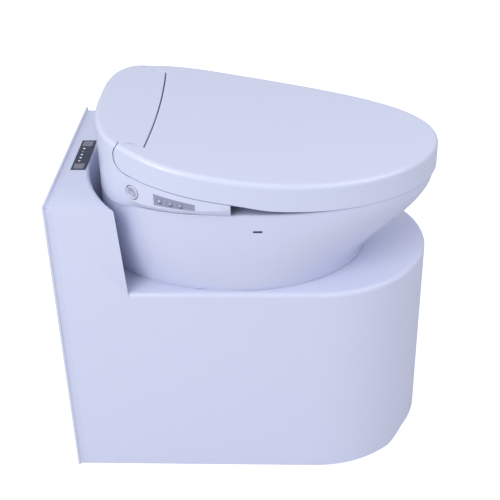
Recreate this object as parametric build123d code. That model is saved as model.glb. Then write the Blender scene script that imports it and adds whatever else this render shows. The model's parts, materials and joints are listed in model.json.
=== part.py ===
from build123d import *
from math import atan2, cos, pi, radians, sin, sqrt, tan
import os

# A composting toilet, in millimetres, +Z up. The front faces -Y, and the user's right is -X.
# Places are given as width x, depth d from the cabinet's rear face towards the front, and height z.

# Cabinet
CABINET_WIDTH = 350.0
NOSE_CENTRE = 389.4        # depth of the centre of the round front
LEDGE_HEIGHT = 337.0
CONSOLE_HEIGHT = 481.0
CONSOLE_CORNER = 100.0     # depth of the console's top at its side
CONSOLE_MIDDLE = 40.0      # depth of the console's top in the middle of its scoop
CONSOLE_DRAFT = 7.5        # how much deeper the console is at the ledge
SHELL_WALL = 4.0
SHELL_LIFT = 2.0           # gap under the shell's lower edge
EDGE_ROUND = 7.0
LIP_OUT = 4.5              # lip round the rear edge
LIP_THICK = 3.0
LIP_ROUND = 4.0
TOE_WIDTH = 254.0
TOE_RAMP = 34.0
TOE_HEIGHT = 19.0
TOE_ROUND = 22.0
REAR_SEAT = 14.0           # width of the ledge that the rear panel is screwed to
REAR_PANEL_THICK = 3.0
CLEAR = 0.3                # gap between pieces that must not touch
FIT = 0.05                 # radial clearance of a running shaft

# Base
PAN_INSET = 16.0
PAN_THICK = 3.0
PAN_RIM = 22.0
FOOT_THICK = 3.0
FOOT_RADIUS = 20.0

# Bowl, as egg outlines: centre depth, half width, reach to the front and to the rear
BOWL_HEIGHTS = (0.0, 46.0, 92.0, 138.0)
BOWL_CENTRES = (280.0, 287.0, 295.0, 300.0)
BOWL_HALVES = (165.0, 178.0, 187.5, 191.0)
BOWL_FRONTS = (188.0, 239.0, 262.0, 267.0)
BOWL_REARS = (228.0, 236.0, 245.0, 250.0)
BOWL_SQUARE = 2.2
BOWL_WALL = 6.0
RIM_ROUND = 4.0
BOWL_BOLT_DEPTHS = (215.0, 388.0)
BOSS_RADIUS = 12.0
GASKET_THICK = 1.5
GASKET_WIDTH = 22.0
DROP_DEPTH = 345.0         # depth of the drop opening's axis
DROP_RADIUS = 60.0
FUNNEL_HALVES = (128.0, 108.0, 76.0)
FUNNEL_FRONTS = (186.0, 148.0, 84.0)
FUNNEL_REARS = (170.0, 152.0, 96.0)
FUNNEL_DROPS = (-4.0, 45.0, 95.0)
FUNNEL_WALL = 5.0
FUNNEL_END = 118.0         # below the rim, where the round spigot starts

# Seat unit, whose top is one hollow curve that lid and housing share
SEAT_CENTRE = 255.0
SEAT_HALF = 198.0
SEAT_FRONT = 318.0
SEAT_REAR = 192.0
SEAT_SQUARE = 2.6
TOP_LOW = 513.5
TOP_FLAT = 525.0           # depth where the top runs level
TOP_RADIUS = 1540.0
SKIRT = 37.0
LID_WALL = 3.5
COVER_WALL = 3.0
LID_GAP = 1.2
AXIS_DEPTH = 128.5
AXIS_HEIGHT = 552.0
ARM_RADIUS = 25.0
ARM_HALF = 143.5           # half width between the lid's arms
PANEL_DEPTH = 151.5        # depth of the panel's rear edge in the middle
PANEL_SAG = 5.0
PANEL_GAP = 2.5
NOSE_DEPTH = 185.0
NOSE_TOP = 506.0
WING_DEPTH = 267.0
WING_WIDTH = 17.0
LUG_ROOM = 165.0           # half width that the seat's lugs need
BASE_THICK = 3.0
BASE_LIFT = 0.5
SEAT_BOLT_SPACING = 155.0
SEAT_BOLT_DEPTH = 112.0
PIN_RADIUS = 3.5
DAMPER_RADIUS = 8.0

# Seat ring
RING_CENTRE = 330.0
RING_HALF = 176.0
RING_FRONT = 226.0
RING_REAR = 135.0
RING_SQUARE = 3.0
HOLE_CENTRE = 350.0
HOLE_HALF = 108.0
HOLE_FRONT = 146.0
HOLE_REAR = 116.0
RING_THICK = 20.0
RING_LIFT = 5.5
RING_ROUND = 7.0
LUG_IN = 149.0
LUG_OUT = 155.5            # clear of the opened lid's side walls
LUG_THICK = 11.0
BUMPER_RADIUS = 7.0

# Controls on the wing
BUTTON_DEPTH = 128.0
BUTTON_HEIGHT = 503.5
BUTTON_RADIUS = 7.0
BEZEL_RADIUS = 11.0
STRIP_DEPTHS = (160.0, 218.0)
STRIP_TOPS = (510.0, 498.5)
STRIP_BOTTOMS = (492.5, 489.5)
STRIP_THICK = 1.5
KEY_DEPTHS = (168.0, 183.0, 197.0)
KEY_SIZE = 8.0
KEY_TALL = 5.5
KEY_PROUD = 0.6

# Display in the console's top
DISPLAY_DEPTHS = (16.5, 39.0)
DISPLAY_LENGTH = 105.0
DISPLAY_THICK = 3.0
DISPLAY_PROUD = 0.4
WINDOW_LENGTH = 17.0
LIGHT_COUNT = 5
LIGHT_PITCH = 11.0

# Compost works
CHAMBER_RADIUS = 110.0
CHAMBER_WALL = 4.0
CHAMBER_DEPTHS = (75.0, 500.0)
CHAMBER_TOP = 300.0
MIXER_HEIGHT = 200.0
MIXER_RADIUS = 96.0
SHAFT_RADIUS = 9.0
BEARING_RADIUS = 16.0
BEARING_LENGTH = 12.0
PADDLES = 8
PADDLE_THICK = 4.0
PADDLE_BLADE = 44.0
PADDLE_PITCH = 30.0
SLOTS = 9
SLOT_WIDTH = 8.0
SLOT_LENGTH = 70.0
SLOT_PITCH = 28.0
GEAR_MODULE = 2.5
GEAR_TEETH = 48
PINION_TEETH = 16
GEAR_WIDTH = 12.0
GEAR_DEPTH = 46.0
PINION_ANGLE = -142.0
BACKLASH = 0.35
MOTOR_RADIUS = 32.0
MOTOR_LENGTH = 34.0
MOTOR_SHAFT = 5.0
HEATER_THICK = 3.0
COVER_PLATE = 4.0

# Shutter under the bowl
SHUTTER_THICK = 3.0
SHUTTER_HALF = 66.0
SHUTTER_HEIGHT = 317.0
SHUTTER_TRAVEL = 134.0
CHUTE_RADIUS = 67.0
CHUTE_WALL = 5.0
RAIL_WIDTH = 14.0

# Drawer on the user's left
DRAWER_DEPTHS = (110.0, 385.0)
DRAWER_BOTTOM = 13.0
DRAWER_TOP = 80.0
DRAWER_WALL = 3.0
DRAWER_FAR = -154.0
DRAWER_FRONT_THICK = 4.0
DRAWER_GAP = 1.0
RUNNER_WIDTH = 16.0

# Ventilation
FAN_DROP = 93.0            # from the console's top to the fan's axis
FAN_SIDE = 80.0
FAN_THICK = 15.0
FAN_RADIUS = 37.0
FAN_HUB = 14.0
FAN_BLADES = 7
DUCT_DEPTH = 15.0
DUCT_HALF = 40.0
DUCT_WALL = 2.0
VENT_RADIUS = 37.5
VENT_WALL = 2.5
VENT_LENGTH = 30.0

# Power inlet in the rear panel
INLET_X = 110.0
INLET_Z = 130.0
INLET_HALF = 24.0
INLET_TALL = 12.0
LOUVRES = 7                # air slots low in the rear panel
LOUVRE_LOW = 60.0
LOUVRE_PITCH = 9.0
LOUVRE_TALL = 4.0
LOUVRE_SPAN = (-150.0, -90.0)

# Wash nozzle
NOZZLE_RADIUS = 5.0
NOZZLE_LENGTH = 100.0
NOZZLE_SLOPE = 25.0
NOZZLE_DEPTH = 181.0       # depth of the retracted tip
NOZZLE_LIFT = 3.2          # and its height over the rim
GUIDE_WALL = 2.0
GUIDE_SPAN = (-70.0, -30.0)

# What follows from these
NOSE_RADIUS = CABINET_WIDTH / 2
CABINET_FRONT = NOSE_CENTRE + NOSE_RADIUS
BOWL_FOOT = LEDGE_HEIGHT + GASKET_THICK
RIM_HEIGHT = BOWL_FOOT + BOWL_HEIGHTS[-1]
NOZZLE_TIP = RIM_HEIGHT + NOZZLE_LIFT
BASE_BOTTOM = RIM_HEIGHT + BASE_LIFT
COVER_BOTTOM = BASE_BOTTOM + BASE_THICK
RING_BOTTOM = RIM_HEIGHT + RING_LIFT
RING_TOP = RING_BOTTOM + RING_THICK
PAN_TOP = FOOT_THICK + PAN_THICK
FAN_FRONT = REAR_PANEL_THICK + FAN_THICK
GEAR_RADIUS = GEAR_MODULE * GEAR_TEETH / 2
PINION_RADIUS = GEAR_MODULE * PINION_TEETH / 2
PINION_X = (GEAR_RADIUS + PINION_RADIUS) * cos(radians(PINION_ANGLE))
PINION_Z = MIXER_HEIGHT + (GEAR_RADIUS + PINION_RADIUS) * sin(radians(PINION_ANGLE))
FAN_HEIGHT = CONSOLE_HEIGHT - FAN_DROP
LID_TIP = SEAT_CENTRE + SEAT_FRONT
REAR_Y = (LID_TIP - VENT_LENGTH) / 2


def block(x, d, z):
    """A box over its spans of width, depth and height."""
    size = Box(x[1] - x[0], d[1] - d[0], z[1] - z[0])
    return Pos((x[0] + x[1]) / 2, -(d[0] + d[1]) / 2, (z[0] + z[1]) / 2) * size


def rod_x(radius, x, d, z):
    """A cylinder across the toilet, over the span x."""
    return Pos((x[0] + x[1]) / 2, -d, z) * Rot(0, 90, 0) * Cylinder(radius, x[1] - x[0])


def rod_d(radius, d, x, z):
    """A cylinder along the toilet, over the span of depth d."""
    return Pos(x, -(d[0] + d[1]) / 2, z) * Rot(90, 0, 0) * Cylinder(radius, d[1] - d[0])


def rod_z(radius, z, x, d):
    """An upright cylinder over the span z."""
    return Pos(x, -d, (z[0] + z[1]) / 2) * Cylinder(radius, z[1] - z[0])


def both(piece):
    """The piece and its mirror image on the toilet's other side."""
    return piece + mirror(piece, about=Plane.YZ)


def egg(centre, half, front, rear, square=2.0, inset=0.0, z=0.0):
    """A closed outline: half an ellipse to the front, and a squarer half to the rear."""
    points = []
    for step in range(24):
        along, across = cos(2 * pi * step / 24), sin(2 * pi * step / 24)
        share = 1.0 if along >= 0 else 2 / square
        reach = (front - inset) if along >= 0 else (inset - rear)
        side = 1 if across >= 0 else -1
        width = side * abs(across) ** share * (half - inset)
        points.append(Vector(width, -centre - abs(along) ** share * reach, z))
    return make_face(Edge.make_spline(points, periodic=True))


def half_at(depth, centre, half, front, rear, square=2.0):
    """Half the width of an egg outline at a depth."""
    ahead = depth >= centre
    power = 2.0 if ahead else square
    share = abs(depth - centre) / (front if ahead else rear)
    return half * (1 - share**power) ** (1 / power)


def seat_outline(inset=0.0, z=0.0):
    """The outline that the lid and the housing share."""
    return egg(SEAT_CENTRE, SEAT_HALF, SEAT_FRONT, SEAT_REAR, SEAT_SQUARE, inset, z)


def top_height(depth):
    """Height of the seat unit's top at a depth."""
    return TOP_LOW + TOP_RADIUS - sqrt(TOP_RADIUS**2 - (depth - TOP_FLAT) ** 2)


def below_top(drop, start=0.0, end=620.0, floor=400.0):
    """All that lies under the seat unit's top, lowered by drop, between two depths."""
    middle = (start + end) / 2
    arc = ThreePointArc(*[(-d, top_height(d) - drop) for d in (start, middle, end)])
    sides = Polyline(arc @ 1, (-end, floor), (-start, floor), arc @ 0)
    return extrude(Plane.YZ * make_face(arc + sides), amount=260, both=True)


def d_outline(inset=0.0, rear=0.0):
    """The cabinet's plan: straight sides and a round front."""
    half = NOSE_RADIUS - inset
    nose = ThreePointArc((half, -NOSE_CENTRE), (0, -NOSE_CENTRE - half), (-half, -NOSE_CENTRE))
    sides = Polyline(nose @ 1, (-half, -rear), (half, -rear), nose @ 0)
    return make_face(nose + sides)


def scoop(inset=0.0):
    """The cone that hollows the console's front round the bowl."""
    sagitta = CONSOLE_CORNER - CONSOLE_MIDDLE
    radius = (sagitta**2 + NOSE_RADIUS**2) / (2 * sagitta)
    height = CONSOLE_HEIGHT - LEDGE_HEIGHT
    slope = CONSOLE_DRAFT / height
    low, high = LEDGE_HEIGHT - 20, CONSOLE_HEIGHT + 20
    centre = CONSOLE_MIDDLE + radius
    bottom = radius + inset - slope * (CONSOLE_HEIGHT - low)
    top = radius + inset + slope * 20
    return Pos(0, -centre, (low + high) / 2) * Cone(bottom, top, high - low)


def cabinet_body(inset=0.0, bottom=SHELL_LIFT):
    """The cabinet's outer form, or its inner one when it is inset."""
    ledge = LEDGE_HEIGHT - inset
    lower = extrude(d_outline(inset), amount=ledge - bottom)
    lower = Pos(0, 0, bottom) * lower
    half = NOSE_RADIUS - inset
    deep = CONSOLE_CORNER + CONSOLE_DRAFT + 40
    console = block((-half, half), (0, deep), (ledge - 30, CONSOLE_HEIGHT - inset))
    cut = scoop(inset)
    above = block((-400, 400), (-10, 700), (ledge, 700))
    return lower + (console - (cut & above))


def make_cabinet_shell():
    body = cabinet_body()
    tops = body.faces().filter_by(Axis.Z).sort_by(Axis.Z)
    ledge = [f for f in tops if abs(f.center().Z - LEDGE_HEIGHT) < 1][0]
    console = tops[-1]
    side = [e for e in ledge.edges() + console.edges() if e.bounding_box().max.Y < -1]
    nose = 1 - NOSE_CENTRE
    rounded = [e for e in side if e.center().Z > LEDGE_HEIGHT + 1 or e.bounding_box().min.Y < nose]
    body = fillet(rounded, EDGE_ROUND)
    reach = NOSE_RADIUS + LIP_OUT
    body = body + block((-reach, reach), (0, LIP_THICK), (SHELL_LIFT, CONSOLE_HEIGHT + LIP_OUT))
    void = cabinet_body(SHELL_WALL, SHELL_LIFT - 1)
    rear = REAR_PANEL_THICK + SHELL_WALL
    void = void & block((-400, 400), (rear, 700), (-10, 700))
    inner = NOSE_RADIUS - SHELL_WALL
    top = CONSOLE_HEIGHT - SHELL_WALL
    seat = block((-inner, inner), (-1, REAR_PANEL_THICK), (SHELL_LIFT + SHELL_WALL, top))
    hole = inner - REAR_SEAT
    way = block((-hole, hole), (1, rear + 1), (SHELL_LIFT + REAR_SEAT, top - REAR_SEAT))
    body = body - void - seat - way
    half = TOE_WIDTH / 2
    flat = half - TOE_RAMP
    toe = make_face(Polyline((-half, 0), (-flat, TOE_HEIGHT), (flat, TOE_HEIGHT), (half, 0), close=True))
    toe = fillet(toe.vertices().sort_by(Axis.Y)[-2:], TOE_ROUND)
    toe = extrude(Plane.XZ * toe, amount=700) & block((-400, 400), (NOSE_CENTRE, 700), (-1, 100))
    body = body - toe
    through = (LEDGE_HEIGHT - 20, LEDGE_HEIGHT + 20)
    body = body - rod_z(CHUTE_RADIUS + CHUTE_WALL + 6, through, 0, DROP_DEPTH)
    side = (NOSE_RADIUS - 20, NOSE_RADIUS + 20)
    body = body - block(side, grown(DRAWER_DEPTHS, 2), (DRAWER_BOTTOM - 2, DRAWER_TOP + 2))
    for x, d in bowl_bolts_at():
        body = body - rod_z(3.5, through, x, d)
    length = DISPLAY_LENGTH / 2 + CLEAR
    low = CONSOLE_HEIGHT - DISPLAY_THICK + DISPLAY_PROUD
    return body - block((-length, length), grown(DISPLAY_DEPTHS, CLEAR), (low, 700))


def grown(span, by):
    return (span[0] - by, span[1] + by)


def bowl_bolts_at():
    """The four bolts that hold the bowl, seen from above."""
    places = []
    shape = (BOWL_CENTRES[0], BOWL_HALVES[0], BOWL_FRONTS[0], BOWL_REARS[0], BOWL_SQUARE)
    for depth in BOWL_BOLT_DEPTHS:
        foot = half_at(depth, *shape)
        across = foot - BOWL_WALL - BOSS_RADIUS + 4
        places += [(-across, depth), (across, depth)]
    return places


def make_base_pan():
    flat = extrude(d_outline(PAN_INSET, SHELL_WALL + 8), amount=PAN_THICK)
    rim = extrude(d_outline(PAN_INSET, SHELL_WALL + 8), amount=PAN_RIM)
    rim = rim - Pos(0, 0, -1) * extrude(d_outline(PAN_INSET + PAN_THICK, SHELL_WALL + 11), amount=PAN_RIM + 2)
    pan = Pos(0, 0, FOOT_THICK) * (flat + rim)
    gap = block((NOSE_RADIUS - 40, NOSE_RADIUS), grown(DRAWER_DEPTHS, 2), (DRAWER_BOTTOM - 2.5, 60))
    return pan - gap


def make_foot_pads():
    half = NOSE_RADIUS - PAN_INSET - FOOT_RADIUS - 6
    places = [(half, 50.0), (-half, 50.0), (half - 30, NOSE_CENTRE + 60), (30 - half, NOSE_CENTRE + 60)]
    return Part() + [rod_z(FOOT_RADIUS, (0, FOOT_THICK), x, d) for x, d in places]


def panel_screws_at():
    x = NOSE_RADIUS - SHELL_WALL - REAR_SEAT / 2
    low, high = SHELL_LIFT + SHELL_WALL + 6, CONSOLE_HEIGHT - SHELL_WALL - 7
    rows = [low + (high - low) * n / 3 for n in range(4)]
    return [(s * x, z) for s in (-1, 1) for z in rows]


def make_rear_panel():
    half = NOSE_RADIUS - SHELL_WALL - CLEAR
    edge = SHELL_WALL + CLEAR
    panel = block((-half, half), (0, REAR_PANEL_THICK), (SHELL_LIFT + edge, CONSOLE_HEIGHT - edge))
    panel = fillet(panel.edges().filter_by(Axis.Y), 2.0)
    panel = panel - rod_d(VENT_RADIUS - VENT_WALL, (-5, 9), 0, FAN_HEIGHT)
    for x, z in panel_screws_at():
        panel = panel - rod_d(2.2, (-5, 9), x, z)
    inlet = (INLET_X - 14, INLET_X + 14)
    panel = panel - block(inlet, (-5, 9), (INLET_Z - 10.5, INLET_Z + 10.5))
    for row in range(LOUVRES):
        z = LOUVRE_LOW + LOUVRE_PITCH * row
        panel = panel - block(LOUVRE_SPAN, (-5, 9), (z, z + LOUVRE_TALL))
    return panel


def make_panel_screws():
    screws = Part()
    for x, z in panel_screws_at():
        head = rod_d(4.2, (-2.2, -0.02), x, z)
        head = fillet(head.edges().sort_by(Axis.Y)[-1:], 1.2)
        slot = block((x - 0.5, x + 0.5), (-3, -1.3), (z - 2.4, z + 2.4))
        cross = block((x - 2.4, x + 2.4), (-3, -1.3), (z - 0.5, z + 0.5))
        screws += head - slot - cross + rod_d(2.0, (-0.1, REAR_PANEL_THICK - 0.01), x, z)
    return screws


def make_vent_outlet():
    outer = rod_d(VENT_RADIUS, (-VENT_LENGTH, 0), 0, FAN_HEIGHT)
    flange = rod_d(VENT_RADIUS + 12, (-3, 0), 0, FAN_HEIGHT)
    bead = rod_d(VENT_RADIUS + 3, (-9, -3), 0, FAN_HEIGHT)
    bead = chamfer(bead.edges().sort_by(Axis.Y)[-1:], 2.5)
    bore = rod_d(VENT_RADIUS - VENT_WALL, (-VENT_LENGTH - 5, 9), 0, FAN_HEIGHT)
    return outer + flange + bead - bore


def make_power_inlet():
    wide, tall = (INLET_X - INLET_HALF, INLET_X + INLET_HALF), (INLET_Z - INLET_TALL, INLET_Z + INLET_TALL)
    flange = block(wide, (-2.5, 0), tall)
    flange = fillet(flange.edges().filter_by(Axis.Y), 5)
    body = block((INLET_X - 13.5, INLET_X + 13.5), (-2.5, 22), (INLET_Z - 10, INLET_Z + 10))
    well = block((INLET_X - 11.5, INLET_X + 11.5), (-9, 14), (INLET_Z - 7.5, INLET_Z + 7.5))
    inlet = flange + body - well
    for x, z in ((-6.5, -2.0), (6.5, -2.0), (0.0, 2.5)):
        px, pz = INLET_X + x, INLET_Z + z
        inlet += block((px - 1, px + 1), (0, 15), (pz - 2.5, pz + 2.5))
    return inlet


def make_display_panel():
    length = DISPLAY_LENGTH / 2
    low = CONSOLE_HEIGHT - DISPLAY_THICK + DISPLAY_PROUD
    panel = block((-length, length), DISPLAY_DEPTHS, (low, CONSOLE_HEIGHT + DISPLAY_PROUD))
    panel = fillet(panel.edges().filter_by(Axis.Z), 1.5)
    panel = panel - make_display_windows(CLEAR / 3) - make_indicator_lights(CLEAR / 3)
    return panel


def make_display_windows(grow=0.0):
    depth = (DISPLAY_DEPTHS[0] + 3 - grow, DISPLAY_DEPTHS[1] - 4 + grow)
    top = CONSOLE_HEIGHT + DISPLAY_PROUD + (1 if grow else 0)
    start = DISPLAY_LENGTH / 2 - 4 - WINDOW_LENGTH
    return both(block((start - grow, start + WINDOW_LENGTH + grow), depth, (CONSOLE_HEIGHT - 0.8, top)))


def make_indicator_lights(grow=0.0):
    lights = Part()
    depth = DISPLAY_DEPTHS[0] + 8
    top = CONSOLE_HEIGHT + DISPLAY_PROUD + (1 if grow else 0)
    for n in range(LIGHT_COUNT):
        x = (n - (LIGHT_COUNT - 1) / 2) * LIGHT_PITCH
        lights += rod_z(1.6 + grow, (CONSOLE_HEIGHT - 0.8, top), x, depth)
    return lights


def bowl_section(n, inset=0.0):
    z = BOWL_FOOT + BOWL_HEIGHTS[n]
    return egg(BOWL_CENTRES[n], BOWL_HALVES[n], BOWL_FRONTS[n], BOWL_REARS[n], BOWL_SQUARE, inset, z)


def bowl_funnel(grow=0.0):
    """The inside of the bowl down to its round spigot."""
    sections = []
    for n, drop in enumerate(FUNNEL_DROPS):
        z = RIM_HEIGHT - drop
        sections.append(egg(DROP_DEPTH, FUNNEL_HALVES[n], FUNNEL_FRONTS[n], FUNNEL_REARS[n], 2.2, -grow, z))
    end = RIM_HEIGHT - FUNNEL_END
    sections.append(egg(DROP_DEPTH, DROP_RADIUS, DROP_RADIUS, DROP_RADIUS, 2.0, -grow, end))
    return loft(sections)


def make_bowl():
    outer = loft([bowl_section(n) for n in range(4)])
    outer = fillet(outer.edges().sort_by(Axis.Z)[-1:], RIM_ROUND)
    void = loft([bowl_section(n, BOWL_WALL) for n in range(4)])
    void = void & block((-400, 400), (0, 700), (BOWL_FOOT - 1, RIM_HEIGHT - BOWL_WALL))
    spigot_low = SHUTTER_HEIGHT + SHUTTER_THICK + 2.5
    end = RIM_HEIGHT - FUNNEL_END
    below_rim = block((-400, 400), (0, 700), (0, RIM_HEIGHT))
    wall = bowl_funnel(FUNNEL_WALL) & below_rim
    tube = rod_z(DROP_RADIUS + FUNNEL_WALL - 1, (spigot_low, end + 5), 0, DROP_DEPTH)
    bore = rod_z(DROP_RADIUS - 1, (spigot_low - 5, end + 10), 0, DROP_DEPTH)
    bosses = Part()
    for x, d in bowl_bolts_at():
        bosses += rod_z(BOSS_RADIUS, (BOWL_FOOT, BOWL_FOOT + 30), x, d)
    bosses = bosses & outer
    bowl = outer - void + wall + tube + bosses - bowl_funnel() - bore
    for x, d in bowl_bolts_at():
        bowl = bowl - rod_z(3.0, (BOWL_FOOT - 1, BOWL_FOOT + 22), x, d)
    seat_bolt = rod_z(4.5, (RIM_HEIGHT - 20, RIM_HEIGHT + 9), SEAT_BOLT_SPACING / 2, SEAT_BOLT_DEPTH)
    return bowl - both(seat_bolt)


def make_bowl_gasket():
    shape = (BOWL_CENTRES[0], BOWL_HALVES[0], BOWL_FRONTS[0], BOWL_REARS[0], BOWL_SQUARE)
    outer, inner = egg(*shape, 1.5), egg(*shape, GASKET_WIDTH)
    ring = extrude(outer, amount=GASKET_THICK) - extrude(inner, amount=GASKET_THICK)
    for x, d in bowl_bolts_at():
        ring = ring - rod_z(3.5, (-1, GASKET_THICK + 1), x, d)
    return Pos(0, 0, LEDGE_HEIGHT) * ring


def make_bowl_bolts():
    bolts = Part()
    low = LEDGE_HEIGHT - SHELL_WALL
    for x, d in bowl_bolts_at():
        head = Pos(x, -d, low - 5) * extrude(RegularPolygon(6.5, 6), amount=5)
        bolts += head + rod_z(3.0, (low - 0.1, BOWL_FOOT + 20), x, d)
    return bolts


def arm_block(inset=0.0, front=0.0, low=300.0):
    """The space between the lid's arms, seen from above, up to the panel's rear edge."""
    depth = PANEL_DEPTH - PANEL_SAG - front
    half = ARM_HALF - inset
    edge = ThreePointArc((half, -depth), (0, front - PANEL_DEPTH), (-half, -depth))
    sides = Polyline(edge @ 1, (-half, 0), (half, 0), edge @ 0)
    return Pos(0, 0, low) * extrude(make_face(edge + sides), amount=400)


def crown(inset, low):
    """The seat unit's full form from a height up to its top."""
    form = Pos(0, 0, low) * extrude(seat_outline(inset), amount=800 - low)
    return form & below_top(inset)


def make_lid():
    outer = crown(0, 420) - below_top(SKIRT)
    behind = block((-400, 400), (0, AXIS_DEPTH), (300, 800))
    behind = behind - rod_x(ARM_RADIUS, (-400, 400), AXIS_DEPTH, AXIS_HEIGHT)
    outer = outer - behind - arm_block()
    inner = crown(LID_WALL, 420)
    bend = ARM_RADIUS - LID_WALL
    kept = rod_x(bend, (-400, 400), AXIS_DEPTH, AXIS_HEIGHT)
    kept += block((-400, 400), (AXIS_DEPTH - bend, AXIS_DEPTH + 1), (300, AXIS_HEIGHT))
    inner = inner - (block((-400, 400), (0, AXIS_DEPTH), (300, 800)) - kept)
    inner = inner - arm_block(-LID_WALL)
    lid = outer - inner
    return lid - rod_x(PIN_RADIUS + FIT, (-LUG_OUT - 1, LUG_OUT + 1), AXIS_DEPTH, AXIS_HEIGHT)


def housing(inset=0.0):
    """The seat unit's fixed cover: its rear box, its nose and the wing on the user's right."""
    body = crown(inset, COVER_BOTTOM - inset * 2)
    gap = LID_GAP + inset
    over = block((-400, 400), (AXIS_DEPTH - 0.01, 700), (300, 800)) - below_top(SKIRT + gap)
    over += rod_x(ARM_RADIUS + gap, (-400, 400), AXIS_DEPTH, AXIS_HEIGHT)
    over = over - arm_block(gap, PANEL_GAP - LID_GAP + gap, 200)
    room = LUG_ROOM + inset
    front = block((-room, 400), (NOSE_DEPTH - inset, 700), (300, 800))
    inner = Pos(0, 0, 300) * extrude(seat_outline(WING_WIDTH - inset), amount=400)
    front += inner & block((-400, 400), (NOSE_DEPTH - inset, 700), (300, 800))
    end = block((-400, 400), (WING_DEPTH - inset, 700), (300, 800))
    above = block((-room, room), (AXIS_DEPTH + ARM_RADIUS, 700), (NOSE_TOP - inset, 800))
    above = above - arm_block(gap, PANEL_GAP - LID_GAP + gap, 200)
    return body - over - front - end - above


def side_plane(depth, height):
    """A plane on the user's right side of the seat unit, whose +Z points straight out of it."""
    shape = (SEAT_CENTRE, SEAT_HALF, SEAT_FRONT, SEAT_REAR, SEAT_SQUARE)
    slope = (half_at(depth + 0.5, *shape) - half_at(depth - 0.5, *shape))
    origin = Vector(-half_at(depth, *shape), -depth, height)
    return Plane(origin, x_dir=Vector(slope, 1, 0), z_dir=Vector(-1, slope, 0))


def strip_prism(grow=0.0):
    """The key strip's tapered outline, seen from the side."""
    near, far = STRIP_DEPTHS
    corners = [
        (-near + grow, STRIP_TOPS[0] + grow),
        (-far - grow, STRIP_TOPS[1] + grow),
        (-far - grow, STRIP_BOTTOMS[1] - grow),
        (-near + grow, STRIP_BOTTOMS[0] - grow),
    ]
    return extrude(Plane.YZ * make_face(Polyline(*corners, close=True)), amount=-400)


def side_band(outer, inner):
    """The layer between two insets of the seat unit's outline."""
    layer = extrude(seat_outline(outer), amount=400) - extrude(seat_outline(inner), amount=400)
    return Pos(0, 0, 300) * layer


def key_height(depth):
    """Height of the strip's middle at a depth."""
    share = (depth - STRIP_DEPTHS[0]) / (STRIP_DEPTHS[1] - STRIP_DEPTHS[0])
    top = STRIP_TOPS[0] + share * (STRIP_TOPS[1] - STRIP_TOPS[0])
    bottom = STRIP_BOTTOMS[0] + share * (STRIP_BOTTOMS[1] - STRIP_BOTTOMS[0])
    return (top + bottom) / 2


def key_body(depth, grow=0.0, low=-6.0, high=KEY_PROUD):
    """One push key, standing out of the strip along the side's normal."""
    key = Pos(0, 0, (low + high) / 2) * Box(KEY_SIZE + 2 * grow, KEY_TALL + 2 * grow, high - low)
    return side_plane(depth, key_height(depth)) * key


def make_key(n):
    key = key_body(KEY_DEPTHS[n])
    return fillet(key.edges().sort_by(Axis.X)[:4], 0.5)


def key_holes(grow):
    holes = Part()
    for depth in KEY_DEPTHS:
        holes += key_body(depth, grow, -12, 6)
    return holes


def make_key_strip():
    strip = strip_prism() & side_band(-0.2, STRIP_THICK)
    return strip - key_holes(CLEAR)


def button_rod(radius, low, high):
    """A cylinder along the button's axis."""
    rod = Pos(0, 0, (low + high) / 2) * Cylinder(radius, high - low)
    return side_plane(BUTTON_DEPTH, BUTTON_HEIGHT) * rod


def make_button_bezel():
    ring = button_rod(BEZEL_RADIUS, -4, 1.2) - button_rod(BUTTON_RADIUS + CLEAR, -5, 2)
    groove = button_rod(BEZEL_RADIUS - 1.2, 0.5, 2) - button_rod(BEZEL_RADIUS - 2.2, 0.4, 3)
    return ring - groove


def make_button():
    face = button_rod(BUTTON_RADIUS, -6.2, 1.6)
    dish = side_plane(BUTTON_DEPTH, BUTTON_HEIGHT) * (Pos(0, 0, 6.2) * Sphere(5.4))
    return face - dish


def make_wing_board():
    board = side_band(9.0, 10.6) & block((-400, 0), (116, 226), (COVER_BOTTOM, COVER_BOTTOM + 20))
    for depth in KEY_DEPTHS:
        board += key_body(depth, -1.5, -10.6, -7.2)
    return board + button_rod(3.0, -10.6, -8.5)


def make_housing_cover():
    cover = housing() - housing(COVER_WALL)
    cover = cover - rod_x(PIN_RADIUS, (-200, 200), AXIS_DEPTH, AXIS_HEIGHT)
    cover = cover - (strip_prism(0.1) & side_band(-5, STRIP_THICK + 0.1))
    cover = cover - (key_holes(CLEAR) & side_band(-5, WING_WIDTH / 2))
    cover = cover - button_rod(BEZEL_RADIUS, -8, 8)
    return cover - nozzle_rod(NOZZLE_RADIUS + 1.5, -20, 30)


def nozzle_plane():
    """The nozzle's tip at rest, with +Z along its travel, down into the bowl."""
    slope = radians(NOZZLE_SLOPE)
    along = Vector(0, -cos(slope), -sin(slope))
    return Plane(Vector(0, -NOZZLE_DEPTH, NOZZLE_TIP), x_dir=Vector(1, 0, 0), z_dir=along)


def nozzle_rod(radius, low, high, x=0.0):
    return nozzle_plane() * (Pos(x, 0, (low + high) / 2) * Cylinder(radius, high - low))


def make_wash_nozzle():
    wand = nozzle_rod(NOZZLE_RADIUS, -NOZZLE_LENGTH, 0)
    wand = fillet(wand.edges().sort_by(Axis.Y)[0], 2.5)
    hole = nozzle_plane() * (Pos(0, NOZZLE_RADIUS, -9) * Rot(90, 0, 0) * Cylinder(1.2, 5))
    return wand - hole


def make_nozzle_guide():
    middle = sum(GUIDE_SPAN) / 2
    depth = NOZZLE_DEPTH + middle * cos(radians(NOZZLE_SLOPE))
    foot = block((-5, 5), (depth - 10, depth + 10), (COVER_BOTTOM, COVER_BOTTOM + 60))
    above = nozzle_plane() * (Pos(0, 50, middle) * Box(60, 100, 200))
    tube = nozzle_rod(NOZZLE_RADIUS + GUIDE_WALL, *GUIDE_SPAN)
    return tube + (foot - above) - nozzle_rod(NOZZLE_RADIUS + FIT, -200, 100)


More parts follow.
